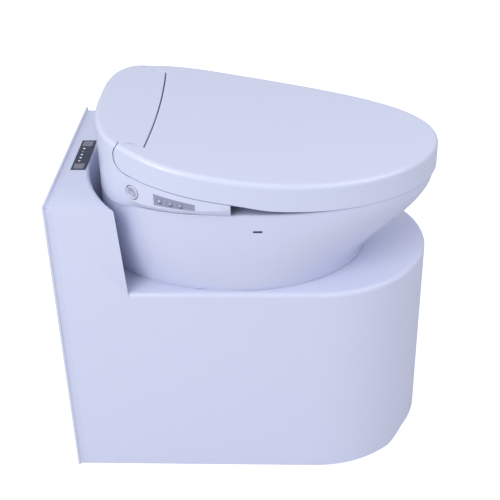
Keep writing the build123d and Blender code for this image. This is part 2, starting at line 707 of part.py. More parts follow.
def make_seat_base():
    plate = Pos(0, 0, BASE_BOTTOM) * extrude(seat_outline(1.0), amount=BASE_THICK)
    inside = Pos(0, 0, 300) * extrude(seat_outline(WING_WIDTH - 1), amount=400)
    beyond = block((-400, 400), (NOSE_DEPTH, 700), (0, 800))
    plate = plate - (beyond & inside) - block((0, 400), (NOSE_DEPTH, 700), (0, 800))
    plate = plate - block((-400, 400), (WING_DEPTH, 700), (0, 800))
    plate = plate - nozzle_rod(NOZZLE_RADIUS + 1.5, -60, 30)
    post = block((100, 136), grown((AXIS_DEPTH, AXIS_DEPTH), 8), (COVER_BOTTOM - 0.1, AXIS_HEIGHT))
    plate = plate + both(post)
    plate = plate - rod_x(DAMPER_RADIUS, (-200, 200), AXIS_DEPTH, AXIS_HEIGHT)
    return plate - both(rod_z(4.5, (0, 800), SEAT_BOLT_SPACING / 2, SEAT_BOLT_DEPTH))


def make_hinge_dampers():
    damper = rod_x(DAMPER_RADIUS, (92, 134), AXIS_DEPTH, AXIS_HEIGHT)
    return both(damper - rod_x(PIN_RADIUS, (120, 140), AXIS_DEPTH, AXIS_HEIGHT))


def make_hinge_pins():
    return both(rod_x(PIN_RADIUS, (120, LUG_OUT + 0.8), AXIS_DEPTH, AXIS_HEIGHT))


def make_seat_ring():
    low = RING_BOTTOM
    ring = extrude(egg(RING_CENTRE, RING_HALF, RING_FRONT, RING_REAR, RING_SQUARE), amount=RING_THICK)
    hole = extrude(egg(HOLE_CENTRE, HOLE_HALF, HOLE_FRONT, HOLE_REAR, 2.2), amount=RING_THICK + 2)
    ring = ring - Pos(0, 0, -1) * hole
    ring = fillet(ring.edges().group_by(Axis.Z)[-1], RING_ROUND)
    ring = Pos(0, 0, low) * ring
    start = -AXIS_DEPTH
    foot = RING_CENTRE - RING_REAR + 6
    half = LUG_THICK / 2
    spine = [
        (start, AXIS_HEIGHT + half),
        (start - 30, AXIS_HEIGHT + half - 5),
        (-foot + 2, AXIS_HEIGHT - 12),
        (-foot - 7, RING_TOP),
        (-foot - 44, RING_TOP - 1),
        (-foot - 44, low),
        (-foot + 8, low),
        (-foot + 9, AXIS_HEIGHT - 26),
        (start - 30, AXIS_HEIGHT - half - 2),
        (start, AXIS_HEIGHT - half - 1.5),
    ]
    lug = extrude(Plane.YZ * make_face(Polyline(*spine, close=True)), amount=LUG_OUT - LUG_IN)
    lug = Pos(LUG_IN, 0, 0) * lug + rod_x(PIN_RADIUS + 3.5, (LUG_IN, LUG_OUT), AXIS_DEPTH, AXIS_HEIGHT)
    ring = ring + both(lug)
    return ring - rod_x(PIN_RADIUS + FIT, (-LUG_OUT - 1, LUG_OUT + 1), AXIS_DEPTH, AXIS_HEIGHT)


def make_seat_bumpers():
    bumpers = Part()
    for x, d in ((148.0, 262.0), (88.0, 500.0)):
        bumpers += both(rod_z(BUMPER_RADIUS, (RIM_HEIGHT + CLEAR, RING_BOTTOM), x, d))
    return bumpers


def make_lid_bumpers():
    bumpers = Part()
    for x, d in ((70.0, 508.0), (128.0, 300.0)):
        top = block((-400, 400), (0, 700), (0, 800)) & below_top(LID_WALL)
        bumpers += both(rod_z(BUMPER_RADIUS, (RING_TOP + CLEAR, 700), x, d) & top)
    return bumpers


def make_seat_bolts():
    bolts = Part()
    for s in (-1, 1):
        x = s * SEAT_BOLT_SPACING / 2
        head = Pos(x, -SEAT_BOLT_DEPTH, COVER_BOTTOM) * extrude(RegularPolygon(7.5, 6), amount=5)
        low = RIM_HEIGHT - BOWL_WALL
        nut = rod_z(12, (low - 12, low), x, SEAT_BOLT_DEPTH)
        bolts += head + rod_z(4.0, (low - 20, COVER_BOTTOM + 1), x, SEAT_BOLT_DEPTH) + nut
    return bolts


def make_compost_chamber():
    wall = CHAMBER_RADIUS + CHAMBER_WALL
    span = grown(CHAMBER_DEPTHS, CHAMBER_WALL)
    body = rod_d(wall, span, 0, MIXER_HEIGHT) + block((-wall, wall), span, (MIXER_HEIGHT, CHAMBER_TOP))
    body = body - block((-400, 400), (0, 700), (CHAMBER_TOP, 700))
    inside = rod_d(CHAMBER_RADIUS, CHAMBER_DEPTHS, 0, MIXER_HEIGHT)
    inside += block((-CHAMBER_RADIUS, CHAMBER_RADIUS), CHAMBER_DEPTHS, (MIXER_HEIGHT, CHAMBER_TOP + 1))
    body = body - inside
    for depth in CHAMBER_DEPTHS:
        out = CHAMBER_WALL if depth == CHAMBER_DEPTHS[1] else -CHAMBER_WALL
        leg = block((-90, 90), sorted((depth, depth + out)), (PAN_TOP, MIXER_HEIGHT - 60))
        body = body + leg
        body = body - rod_d(BEARING_RADIUS, (depth - 20, depth + 20), 0, MIXER_HEIGHT)
    middle = sum(DRAWER_DEPTHS) / 2
    for n in range(SLOTS):
        d = middle + (n - (SLOTS - 1) / 2) * SLOT_PITCH
        slot = (d - SLOT_WIDTH / 2, d + SLOT_WIDTH / 2)
        through = (MIXER_HEIGHT - wall - 5, MIXER_HEIGHT - 50)
        body = body - block((-SLOT_LENGTH / 2, SLOT_LENGTH / 2), slot, through)
    return body


def make_heater_pads():
    wall = CHAMBER_RADIUS + CHAMBER_WALL
    span = (CHAMBER_DEPTHS[0] + 90, CHAMBER_DEPTHS[1] - 90)
    ring = rod_d(wall + HEATER_THICK, span, 0, MIXER_HEIGHT) - rod_d(wall, grown(span, 1), 0, MIXER_HEIGHT)
    return both(ring & block((48, 104), grown(span, 5), (50, MIXER_HEIGHT - 40)))


def make_chamber_cover():
    wall = CHAMBER_RADIUS + CHAMBER_WALL
    thick = (CHAMBER_TOP, CHAMBER_TOP + COVER_PLATE)
    plate = block((-wall, wall), grown(CHAMBER_DEPTHS, CHAMBER_WALL), thick)
    plate = plate - rod_z(CHUTE_RADIUS, (0, 700), 0, DROP_DEPTH)
    return plate - block((-DUCT_HALF + 8, DUCT_HALF - 8), (84, 106), (0, 700))


def make_mixer_bearings():
    bearings = Part()
    for depth, out in ((CHAMBER_DEPTHS[0], -1), (CHAMBER_DEPTHS[1], 1)):
        span = sorted((depth - out * 3, depth + out * (BEARING_LENGTH - 3)))
        flange = sorted((depth + out * CHAMBER_WALL, depth + out * (CHAMBER_WALL + 3)))
        ring = rod_d(BEARING_RADIUS, span, 0, MIXER_HEIGHT)
        ring += rod_d(BEARING_RADIUS + 5, flange, 0, MIXER_HEIGHT)
        bearings += ring - rod_d(SHAFT_RADIUS + FIT, (0, 700), 0, MIXER_HEIGHT)
    return bearings


def make_mixer_shaft():
    span = (GEAR_DEPTH - 4, CHAMBER_DEPTHS[1] + BEARING_LENGTH)
    shaft = rod_d(SHAFT_RADIUS, span, 0, MIXER_HEIGHT)
    ends = shaft.edges().filter_by(GeomType.CIRCLE)
    return chamfer(ends, 1.0)


def make_mixer_paddles():
    paddles = Part()
    first, last = CHAMBER_DEPTHS[0] + 34, CHAMBER_DEPTHS[1] - 34
    for n in range(PADDLES):
        d = first + (last - first) * n / (PADDLES - 1)
        collar = rod_d(SHAFT_RADIUS + 5, (d - 8, d + 8), 0, 0)
        arm = rod_z(4.0, (SHAFT_RADIUS + 3, MIXER_RADIUS - 22), 0, d)
        blade = Box(PADDLE_BLADE, PADDLE_THICK, 30)
        blade = fillet(blade.edges().filter_by(Axis.Y), 5)
        blade = Pos(0, -d, MIXER_RADIUS - 15) * Rot(0, 0, PADDLE_PITCH) * blade
        paddle = collar + arm + blade - rod_d(SHAFT_RADIUS, (d - 9, d + 9), 0, 0)
        paddles += Pos(0, 0, MIXER_HEIGHT) * Rot(0, 135.0 * n, 0) * paddle
    return paddles


def gear_outline(teeth, turn=0.0):
    """Involute teeth with a 20 degree pressure angle, seen from the rear."""
    pitch = GEAR_MODULE * teeth / 2
    base = pitch * cos(radians(20))
    root, tip = pitch - 1.2 * GEAR_MODULE, pitch + 0.95 * GEAR_MODULE
    half = pi / (2 * teeth) - BACKLASH / (4 * pitch)
    involute = tan(radians(20)) - radians(20)
    points = []
    for tooth in range(teeth):
        middle = 2 * pi * tooth / teeth + radians(turn)
        flank = []
        for n in range(4):
            radius = max(base, root) + (tip - max(base, root)) * n / 3
            spread = sqrt(max(0.0, (radius / base) ** 2 - 1))
            flank.append((radius, half + involute - (spread - atan2(spread, 1))))
        if base > root:
            flank.insert(0, (root, flank[0][1]))
        points += [(r * cos(middle - a), r * sin(middle - a)) for r, a in flank]
        points += [(r * cos(middle + a), r * sin(middle + a)) for r, a in reversed(flank)]
    return make_face(Polyline(*points, close=True))


def upright_gear(teeth, turn, x, z):
    """A gear on an axis along the toilet, between the gear train's two faces."""
    front = Plane(Vector(x, -GEAR_DEPTH - GEAR_WIDTH, z), x_dir=Vector(1, 0, 0), z_dir=Vector(0, -1, 0))
    return front * extrude(gear_outline(teeth, turn), amount=-GEAR_WIDTH)


def make_drive_gear():
    gear = upright_gear(GEAR_TEETH, 0.0, 0, MIXER_HEIGHT)
    web = (GEAR_DEPTH + GEAR_WIDTH - 4, GEAR_DEPTH + GEAR_WIDTH + 1)
    hollow = rod_d(GEAR_RADIUS - 8, web, 0, MIXER_HEIGHT) - rod_d(SHAFT_RADIUS + 9, web, 0, MIXER_HEIGHT)
    gear = gear - hollow
    for n in range(6):
        angle = radians(60 * n)
        x, z = 38 * cos(angle), MIXER_HEIGHT + 38 * sin(angle)
        gear = gear - rod_d(9, (0, 100), x, z)
    return gear - rod_d(SHAFT_RADIUS, (0, 100), 0, MIXER_HEIGHT)


def make_drive_pinion():
    away = PINION_ANGLE + 180.0
    turn = away + 180.0 / PINION_TEETH + PINION_ANGLE * GEAR_TEETH / PINION_TEETH
    pinion = upright_gear(PINION_TEETH, turn, PINION_X, PINION_Z)
    return pinion - rod_d(MOTOR_SHAFT, (0, 100), PINION_X, PINION_Z)


def make_pinion_shaft():
    return rod_d(MOTOR_SHAFT, (GEAR_DEPTH - 12, GEAR_DEPTH + GEAR_WIDTH + 2), PINION_X, PINION_Z)


def make_gear_motor():
    low = GEAR_DEPTH - 4
    can = rod_d(MOTOR_RADIUS, (low - MOTOR_LENGTH, low - 3), PINION_X, PINION_Z)
    can = fillet(can.edges().filter_by(GeomType.CIRCLE), 2.0)
    return can - rod_d(MOTOR_SHAFT + FIT, (low - 9, low), PINION_X, PINION_Z)


def make_motor_bracket():
    low = GEAR_DEPTH - 4
    plate = rod_d(MOTOR_RADIUS + 8, (low - 3, low), PINION_X, PINION_Z)
    plate = plate - block((PINION_X + 14, 400), (0, 100), (0, 700))
    for angle in (120, 180, 240):
        x = PINION_X + 34 * cos(radians(angle))
        z = PINION_Z + 34 * sin(radians(angle))
        plate += rod_d(4.0, (low - 1, CHAMBER_DEPTHS[0] - CHAMBER_WALL), x, z)
    return plate - rod_d(MOTOR_SHAFT + 3, (0, 100), PINION_X, PINION_Z)


def make_shutter_plate():
    start, end = DROP_DEPTH - SHUTTER_HALF, DROP_DEPTH + SHUTTER_HALF
    thick = (SHUTTER_HEIGHT, SHUTTER_HEIGHT + SHUTTER_THICK)
    plate = block((-SHUTTER_HALF, SHUTTER_HALF), (start, end), thick)
    return fillet(plate.edges().filter_by(Axis.Z), 4.0)


def make_shutter_frame():
    low, high = CHAMBER_TOP + COVER_PLATE, LEDGE_HEIGHT - SHELL_WALL
    frame = rod_z(CHUTE_RADIUS + CHUTE_WALL, (low, high), 0, DROP_DEPTH)
    span = (DROP_DEPTH - SHUTTER_HALF - SHUTTER_TRAVEL - 3, DROP_DEPTH + SHUTTER_HALF + 4)
    frame += both(block((SHUTTER_HALF - 8, SHUTTER_HALF + RAIL_WIDTH), span, (low, high - 6)))
    groove = (SHUTTER_HEIGHT - CLEAR, SHUTTER_HEIGHT + SHUTTER_THICK + CLEAR)
    half = SHUTTER_HALF + CLEAR
    frame = frame - block((-half, half), (span[0] - 5, DROP_DEPTH + SHUTTER_HALF + CLEAR), groove)
    return frame - rod_z(CHUTE_RADIUS, (low - 5, high + 5), 0, DROP_DEPTH)


def make_compost_drawer():
    x = (DRAWER_FAR, NOSE_RADIUS - SHELL_WALL)
    tray = block(x, DRAWER_DEPTHS, (DRAWER_BOTTOM, DRAWER_TOP))
    tray = fillet(tray.edges().filter_by(Axis.Z), 8.0)
    room = grown(DRAWER_DEPTHS, -DRAWER_WALL)
    inner = block(grown(x, -DRAWER_WALL), room, (DRAWER_BOTTOM + DRAWER_WALL, 200))
    tray = tray - fillet(inner.edges().filter_by(Axis.Z), 5.0)
    return tray - finger_grip()


def finger_grip():
    """The notch at the top of the drawer's front, through front and tray."""
    middle = sum(DRAWER_DEPTHS) / 2
    x = (NOSE_RADIUS - SHELL_WALL - DRAWER_WALL - 10, NOSE_RADIUS + 10)
    grip = block(x, (middle - 50, middle + 50), (DRAWER_TOP - 16, DRAWER_TOP + 10))
    return fillet(grip.edges().filter_by(Axis.X).sort_by(Axis.Z)[:2], 10.0)


def make_drawer_front():
    x = (NOSE_RADIUS - DRAWER_FRONT_THICK, NOSE_RADIUS)
    front = block(x, grown(DRAWER_DEPTHS, 2 - DRAWER_GAP), (DRAWER_BOTTOM - 1, DRAWER_TOP + 1))
    front = fillet(front.edges().filter_by(Axis.X), 4.0)
    return front - finger_grip()


def make_drawer_runners():
    inner = NOSE_RADIUS - PAN_INSET - PAN_THICK
    runners = Part()
    for depth in (DRAWER_DEPTHS[0] + 10, DRAWER_DEPTHS[1] - RUNNER_WIDTH - 10):
        runners += block((-inner, inner - 2), (depth, depth + RUNNER_WIDTH), (PAN_TOP, DRAWER_BOTTOM - CLEAR))
    return runners


def make_fan_frame():
    half = FAN_SIDE / 2
    span = (REAR_PANEL_THICK, FAN_FRONT)
    frame = block((-half, half), span, (FAN_HEIGHT - half, FAN_HEIGHT + half))
    frame = fillet(frame.edges().filter_by(Axis.Y), 4.0)
    frame = frame - rod_d(FAN_RADIUS + 1, (0, 100), 0, FAN_HEIGHT)
    low = REAR_PANEL_THICK
    spokes = rod_d(FAN_HUB - 1, (low, low + 2.5), 0, FAN_HEIGHT)
    spokes += rod_d(2.0, (low, FAN_FRONT - 3), 0, FAN_HEIGHT)
    for n in range(3):
        spoke = block((0, FAN_RADIUS + 2), (low, low + 2.5), (-2.5, 2.5))
        spokes += Pos(0, 0, FAN_HEIGHT) * Rot(0, 120 * n + 30, 0) * spoke
    return frame + spokes


def make_fan_impeller():
    low, high = REAR_PANEL_THICK + 3.2, FAN_FRONT - 1
    hub = rod_d(FAN_HUB, (low, high), 0, 0)
    hub = fillet(hub.edges().sort_by(Axis.Y)[:1], 2.0)
    middle = (low + high) / 2
    for n in range(FAN_BLADES):
        blade = Box(FAN_RADIUS - FAN_HUB + 2, 1.6, 12)
        blade = Pos((FAN_RADIUS + FAN_HUB - 2.4) / 2, 0, 0) * Rot(48, 0, 0) * blade
        hub += Rot(0, 360 / FAN_BLADES * n, 0) * (Pos(0, -middle, 0) * blade)
    hub = hub - rod_d(2.0 + FIT, (0, 100), 0, 0)
    return Pos(0, 0, FAN_HEIGHT) * hub


def duct_form(inset=0.0):
    half = DUCT_HALF - inset
    top = FAN_HEIGHT + FAN_SIDE / 2 - inset
    low = CHAMBER_TOP + COVER_PLATE
    up = block((-half, half), (FAN_FRONT + inset, FAN_FRONT + DUCT_DEPTH - inset), (low + inset, top))
    return up + block((-half, half), (FAN_FRONT + inset, 112 - inset), (low + inset, low + 24 - inset))


def make_vent_duct():
    duct = duct_form() - duct_form(DUCT_WALL)
    duct = duct - rod_d(FAN_RADIUS, (FAN_FRONT - 1, FAN_FRONT + DUCT_WALL + 1), 0, FAN_HEIGHT)
    floor = CHAMBER_TOP + COVER_PLATE + DUCT_WALL
    return duct - block((-DUCT_HALF + 8, DUCT_HALF - 8), (84, 106), (0, floor + 1))


def make_control_board():
    x, z = (-158.0, -66.0), (352.0, 436.0)
    low = REAR_PANEL_THICK + 10
    board = block(x, (low, low + 1.6), z)
    for px in (x[0] + 6, x[1] - 6):
        for pz in (z[0] + 6, z[1] - 6):
            board += rod_d(3.0, (REAR_PANEL_THICK, low + 0.1), px, pz)
    chips = [
        ((-150, -126), 14, (362, 386)),
        ((-118, -96), 9, (396, 424)),
        ((-112, -80), 4, (360, 372)),
        ((-148, -134), 20, (404, 420)),
    ]
    for cx, tall, cz in chips:
        board += block(cx, (low + 1.5, low + 1.6 + tall), cz)
    return board


NODES = {
    "cabinet_shell": make_cabinet_shell,
    "base_pan": make_base_pan,
    "foot_pads": make_foot_pads,
    "rear_panel": make_rear_panel,
    "rear_panel_screws": make_panel_screws,
    "vent_outlet": make_vent_outlet,
    "power_inlet": make_power_inlet,
    "display_panel": make_display_panel,
    "display_windows": make_display_windows,
    "indicator_lights": make_indicator_lights,
    "control_board": make_control_board,
    "bowl": make_bowl,
    "bowl_gasket": make_bowl_gasket,
    "bowl_bolts": make_bowl_bolts,
    "seat_base": make_seat_base,
    "seat_base_bolts": make_seat_bolts,
    "housing_cover": make_housing_cover,
    "hinge_dampers": make_hinge_dampers,
    "hinge_pins": make_hinge_pins,
    "seat_ring": make_seat_ring,
    "seat_bumpers": make_seat_bumpers,
    "lid": make_lid,
    "lid_bumpers": make_lid_bumpers,
    "button_bezel": make_button_bezel,
    "flush_button": make_button,
    "key_strip": make_key_strip,
    "key_rear": lambda: make_key(0),
    "key_middle": lambda: make_key(1),
    "key_front": lambda: make_key(2),
    "wing_board": make_wing_board,
    "wash_nozzle": make_wash_nozzle,
    "nozzle_guide": make_nozzle_guide,
    "compost_chamber": make_compost_chamber,
    "chamber_cover": make_chamber_cover,
    "heater_pads": make_heater_pads,
    "mixer_bearings": make_mixer_bearings,
    "mixer_shaft": make_mixer_shaft,
    "mixer_paddles": make_mixer_paddles,
    "drive_gear": make_drive_gear,
    "drive_pinion": make_drive_pinion,
    "pinion_shaft": make_pinion_shaft,
    "gear_motor": make_gear_motor,
    "motor_bracket": make_motor_bracket,
    "shutter_plate": make_shutter_plate,
    "shutter_frame": make_shutter_frame,
    "compost_drawer": make_compost_drawer,
    "drawer_front": make_drawer_front,
    "drawer_runners": make_drawer_runners,
    "fan_frame": make_fan_frame,
    "fan_impeller": make_fan_impeller,
    "vent_duct": make_vent_duct,
}


def main():
    os.makedirs("parts", exist_ok=True)
    for node, make in NODES.items():
        export_step(Pos(0, REAR_Y, 0) * make(), f"parts/{node}.step")


if __name__ == "__main__":
    main()
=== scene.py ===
import json
import math

import bmesh
import bpy
from mathutils import Matrix, Vector


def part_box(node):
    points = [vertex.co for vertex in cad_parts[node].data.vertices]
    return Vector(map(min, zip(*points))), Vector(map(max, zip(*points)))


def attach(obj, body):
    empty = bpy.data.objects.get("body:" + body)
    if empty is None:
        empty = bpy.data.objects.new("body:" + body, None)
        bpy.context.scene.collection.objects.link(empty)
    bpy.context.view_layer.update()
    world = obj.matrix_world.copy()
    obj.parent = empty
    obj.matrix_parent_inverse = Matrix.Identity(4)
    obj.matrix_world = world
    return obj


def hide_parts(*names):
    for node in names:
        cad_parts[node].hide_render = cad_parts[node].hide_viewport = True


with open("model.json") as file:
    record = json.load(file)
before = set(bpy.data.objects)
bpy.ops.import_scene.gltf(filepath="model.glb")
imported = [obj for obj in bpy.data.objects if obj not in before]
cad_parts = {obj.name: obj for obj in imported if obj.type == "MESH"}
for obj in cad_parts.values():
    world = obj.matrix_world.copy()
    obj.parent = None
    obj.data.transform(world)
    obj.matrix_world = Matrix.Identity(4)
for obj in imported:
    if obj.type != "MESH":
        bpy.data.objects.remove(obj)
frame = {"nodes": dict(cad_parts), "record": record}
NODES = frame["nodes"]

bl_info = {
    "name": "Composting Toilet",
    "version": (1, 0, 0),
    "blender": (4, 5, 0),
    "location": "3D View > Sidebar > Toilet",
    "description": "Builds the visible pieces and finishes of a composting toilet",
    "category": "Object",
}

# Places are in millimetres: x across, d from the cabinet's rear face to the front, z up.
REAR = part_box("rear_panel")[1].y
WIDE = 400.0  # beyond the part's sides
LOW = 300.0  # under the seat unit
HIGH = 800.0  # above its top
DEEP = 700.0  # in front of it
AROUND = 160  # steps round the seat unit and the bowl

# Camera, solved from the cabinet's straight edges in the photograph
CAMERA_PLACE = (-1.40001, -0.07912, 1.15126)
CAMERA_WAY = (0.8559256, 0.0412492, -0.5154511)
CAMERA_TILT, CAMERA_LENS = -1.37, 71.96
SKY_COLOUR, SKY_STRENGTH = (0.93, 0.95, 1.04, 1.0), 0.6
FLOOR_GLOW = 0.75  # only as the camera sees it, so it lights nothing
LAMPS = (  # name, place, aim, size and power
    ("overhead", (-0.4, 0.3, 3.2), (0, 0, 0.3), 2.6, 8.0),
    ("side_key", (-2.3, 1.3, 2.3), (0, 0, 0.35), 2.0, 48.0),
    ("front_fill", (-0.6, -2.2, 2.5), (0, 0, 0.3), 1.6, 15.0),
)

# Seat unit
SEAT_CENTRE, SEAT_HALF, SEAT_FRONT, SEAT_REAR, SEAT_SQUARE = 255.0, 198.0, 318.0, 192.0, 2.6
CORNER_SQUARE = 2.95  # of the rear corners, behind the button
CORNER_BLEND = (0.58, 0.82)  # how far round to the rear they turn squarer
TOP_LOW, TOP_FLAT, TOP_RADIUS = 513.5, 525.0, 1540.0
SKIRT = 37.0  # from the lid's top down to its edge
SKIRT_EXTRA = 4.0  # how much deeper it is ahead of the wing
SKIRT_BLEND = (268.0, 328.0)
HINGE_DROP = 1.42  # how much lower its edge starts at the hinge
HINGE_REACH = 45.0
LID_WALL = 3.5
LID_LOW = 420.0  # where its full form starts, well under its edge
LID_GAP = 0.9  # between lid and housing
PANEL_GAP = 1.9  # behind the lid's panel
AXIS_DEPTH, AXIS_HEIGHT = 128.5, 552.0
ARM_RADIUS = 25.0  # of the arms' round ends
ARM_HALF = 143.5  # half the room between the arms
PANEL_DEPTH, PANEL_SAG = 151.5, 5.0
PIN_RADIUS, PIN_FIT, PIN_REACH = 3.5, 0.05, 159.0
LUG_SLOT = ((147.5, 157.5), (95.0, 132.0), (515.0, 534.0))  # in the arms' ends, for the seat's lugs
UNDER = (-20.0, 640.0, 380.0)  # all under the lid's edge: from and to a depth, down to a height
OVER = (AXIS_DEPTH - 0.01, 620.0, HIGH)  # all over the housing: the same, up to a height

# Housing
COVER_BOTTOM = 480.0
COVER_WALL = 3.0
NOSE_DEPTH, NOSE_TOP = 185.0, 506.0
WING_DEPTH, WING_WIDTH = 267.0, 17.0
LUG_ROOM = 165.0  # half the room for the seat's lugs
BEVEL_TOP, BEVEL_WIDTH = 489.0, 8.5
BEVEL_RISE = (100.0, 150.0)  # where it grows, behind the button
BEVEL_FALL, BEVEL_LOSS = (205.0, 265.0), 3.0  # where it narrows, along the wing
BASE_BOTTOM = 477.0
BASE_INSET, BASE_TUCK = 1.0, 1.5  # behind the cover, and as a share of the bevel
POST, POST_HALF = (100.0, 136.0), 8.0  # of the hinge, across and in depth
SEAT_BOLT, SEAT_BOLT_RADIUS = (77.5, 112.0), 4.5  # its place across and in depth
DAMPER_RADIUS = 8.0
NOZZLE_DEPTH, NOZZLE_HEIGHT, NOZZLE_RADIUS, NOZZLE_SLOPE = 181.0, 479.7, 5.0, 25.0
NOZZLE_ROOM = 1.5

# Controls: the profiles are places of radius and height
BUTTON_DEPTH, BUTTON_HEIGHT, BEZEL_RADIUS = 128.0, 503.5, 11.0
BEZEL_GROOVE = 0.5  # between the bezel and the cover's hole
BEZEL_PROFILE = (
    (7.3, -4), (7.3, -0.4), (7.7, 0.8), (8.4, 1.5), (9.0, 1.5), (9.6, 1.0), (9.9, 0.2),
    (9.9, -2.2), (BEZEL_RADIUS, -2.6), (BEZEL_RADIUS, -4), (7.3, -4),
)
DISH_PROFILE = (
    (0, -6.2), (7, -6.2), (7, 0.0), (6.6, 0.35), (6.0, 0.0), (4.8, -1.0), (3.4, -2.4), (1.8, -3.6), (0, -4.0)
)
STRIP = ((160.0, 510.0), (218.0, 498.5), (218.0, 489.5), (160.0, 492.5))
STRIP_DEPTH = 1.6
KEYS = {"key_rear": 168.0, "key_middle": 183.0, "key_front": 197.0}
KEY_SIZE, KEY_TALL, KEY_FIT = 8.0, 5.5, 0.6
KEY_HOLE = (-8.5, 5.0)  # from and to a height over the side
SIGNS = ((1.5, 24), (1.8, 32), (2.0, 3))  # radius and steps of the drop, the ring and the wedge
DROP_POINT, RING_HOLE = 0.4, 0.55
# Painted shadows: thin dark sheets on the strip under the keys, where the keys' shadows fall
KEY_SHADOW_SIZE, KEY_SHADOW_RISE = (4.6, 1.1), (0.1, 0.35)
KEY_SHADOW_AHEAD, KEY_SHADOW_UNDER = 2.0, 1.0
LIGHT_PITCH = 11.0
LIGHT_TONES = ((1, 0.55, 0.6), (0.9, 0.95, 1), (0.9, 0.95, 1), (0.25, 0.28, 0.36), (1, 1, 1))

# Bowl: its outline at four heights over its foot, and its inside at four depths under its rim
BOWL_FOOT, RIM = 338.5, 476.5
BOWL_HEIGHTS = (0.0, 46.0, 92.0, 138.0)
BOWL_SHAPES = (
    (280.0, 165.0, 188.0, 228.0, 2.2),
    (287.0, 178.0, 211.0, 232.0, 2.5),
    (295.0, 185.0, 254.0, 237.0, 2.75),
    (300.0, 187.0, 267.0, 240.0, 2.9),
)
BOWL_WALL, RIM_ROUND = 6.0, 4.0
DROP_DEPTH, DROP_RADIUS, SPIGOT_END, SPIGOT_WALL = 345.0, 59.0, 322.5, 5.0
FUNNEL_DROPS = (-4.0, 45.0, 95.0, 118.0)
FUNNEL_SHAPES = (
    (345.0, 128.0, 186.0, 170.0, 2.2),
    (345.0, 108.0, 148.0, 152.0, 2.2),
    (345.0, 76.0, 84.0, 96.0, 2.15),
    (345.0, 60.0, 60.0, 60.0, 2.0),
)
BOWL_BOLTS = ((-149.7, 215.0), (149.7, 215.0), (-121.2, 388.0), (121.2, 388.0))
BOSS_RADIUS, BOSS_TALL, BOLT_RADIUS, BOLT_DEPTH = 12.0, 30.0, 3.0, 22.0
MARK_DEPTH, MARK_HEIGHT, MARK_TALL = 303.5, 450.0, 2.2

# Console lip
CONSOLE_TOP, CONSOLE_HALF, EDGE_ROUND = 481.0, 175.0, 7.0
LIP_OUT, LIP_THICK = 4.5, 3.0
COVE_DEPTH, COVE_FOOT = 13.0, 4.0
COVE_OUT = LIP_OUT - 0.2  # just inside the lip's edge
COVE_REAR = LIP_THICK - 0.5  # sunk in the lip
COVE_IN = -1.0  # sunk in the console's side


def at(x, d, z):
    """A place in the part, from millimetres to metres."""
    return Vector((x / 1000, REAR - d / 1000, z / 1000))


def top_height(d):
    """Height of the seat unit's hollow top at a depth."""
    return TOP_LOW + TOP_RADIUS - math.sqrt(TOP_RADIUS**2 - (d - TOP_FLAT) ** 2)


def held(value, start, end):
    """The share of the way from start to end, from 0 to 1."""
    return min(1.0, max(0.0, (value - start) / (end - start)))


def eased(value, start, end):
    """The same share, with a soft start and end."""
    share = held(value, start, end)
    return share * share * (3 - 2 * share)


def seat_place(turn, inset):
    """Width and depth on the seat unit's outline at an angle."""
    along, across = math.cos(turn), math.sin(turn)
    square = SEAT_SQUARE + eased(-along, *CORNER_BLEND) * (CORNER_SQUARE - SEAT_SQUARE)
    share = 1.0 if along >= 0 else 2 / square
    reach = SEAT_FRONT - inset if along >= 0 else inset - SEAT_REAR
    width = math.copysign(abs(across) ** share, across) * (SEAT_HALF - inset)
    return width, SEAT_CENTRE + abs(along) ** share * reach


def seat_half(d):
    """Half width of the seat unit's outline at a depth."""
    ahead = d >= SEAT_CENTRE
    power = 2.0 if ahead else SEAT_SQUARE
    share = abs(d - SEAT_CENTRE) / (SEAT_FRONT if ahead else SEAT_REAR)
    return SEAT_HALF * max(0.0, 1 - share**power) ** (1 / power)


def egg_place(shape, inset, turn, z):
    """A place on an egg outline: half an ellipse to the front, a squarer half to the rear."""
    centre, half, front, rear, square = shape
    along, across = math.cos(turn), math.sin(turn)
    share = 1.0 if along >= 0 else 2 / square
    reach = front - inset if along >= 0 else inset - rear
    width = math.copysign(abs(across) ** share, across) * (half - inset)
    return at(width, centre + abs(along) ** share * reach, z)


def between(knots, shapes, height):
    """The outline at a height, on the smooth curve through the four that are given."""
    blend = [0.0] * len(shapes[0])
    for n, knot in enumerate(knots):
        weight = 1.0
        for m, other in enumerate(knots):
            if m != n:
                weight *= (height - other) / (knot - other)
        blend = [b + weight * value for b, value in zip(blend, shapes[n])]
    return blend


def bevel_at(d):
    """Width of the bevel round the housing's lower edge at a depth."""
    return BEVEL_WIDTH * eased(d, *BEVEL_RISE) - BEVEL_LOSS * held(d, *BEVEL_FALL)


def new_piece(name, bm):
    """Puts a finished bmesh into the scene as an object."""
    mesh = bpy.data.meshes.new(name)
    bm.to_mesh(mesh)
    bm.free()
    piece = bpy.data.objects.new(name, mesh)
    bpy.context.scene.collection.objects.link(piece)
    return piece


def close_up(bm):
    """Merges doubles and turns every face outwards."""
    bmesh.ops.remove_doubles(bm, verts=bm.verts[:], dist=1e-6)
    bmesh.ops.recalc_face_normals(bm, faces=bm.faces[:])


def wrapped(name, rows, segments):
    """A closed form from a grid, whose columns go round and whose rows are placed one by one."""
    bm = bmesh.new()
    bmesh.ops.create_grid(bm, x_segments=segments, y_segments=len(rows) - 1, size=1.0)
    for v in bm.verts:
        turn = math.pi * (v.co.x + 1)
        row = rows[round((v.co.y + 1) / 2 * (len(rows) - 1))]
        v.co = row(turn)
    close_up(bm)
    return new_piece(name, bm)


def raised(name, columns, rows, place, height):
    """A closed form from a grid that is placed point by point and carried up or down to a height."""
    bm = bmesh.new()
    bmesh.ops.create_grid(bm, x_segments=columns, y_segments=rows, size=1.0)
    for v in bm.verts:
        v.co = place((v.co.x + 1) / 2, (v.co.y + 1) / 2)
    carried = bmesh.ops.extrude_face_region(bm, geom=bm.faces[:])["geom"]
    for v in carried:
        if isinstance(v, bmesh.types.BMVert):
            v.co.z = height / 1000
    close_up(bm)
    return new_piece(name, bm)


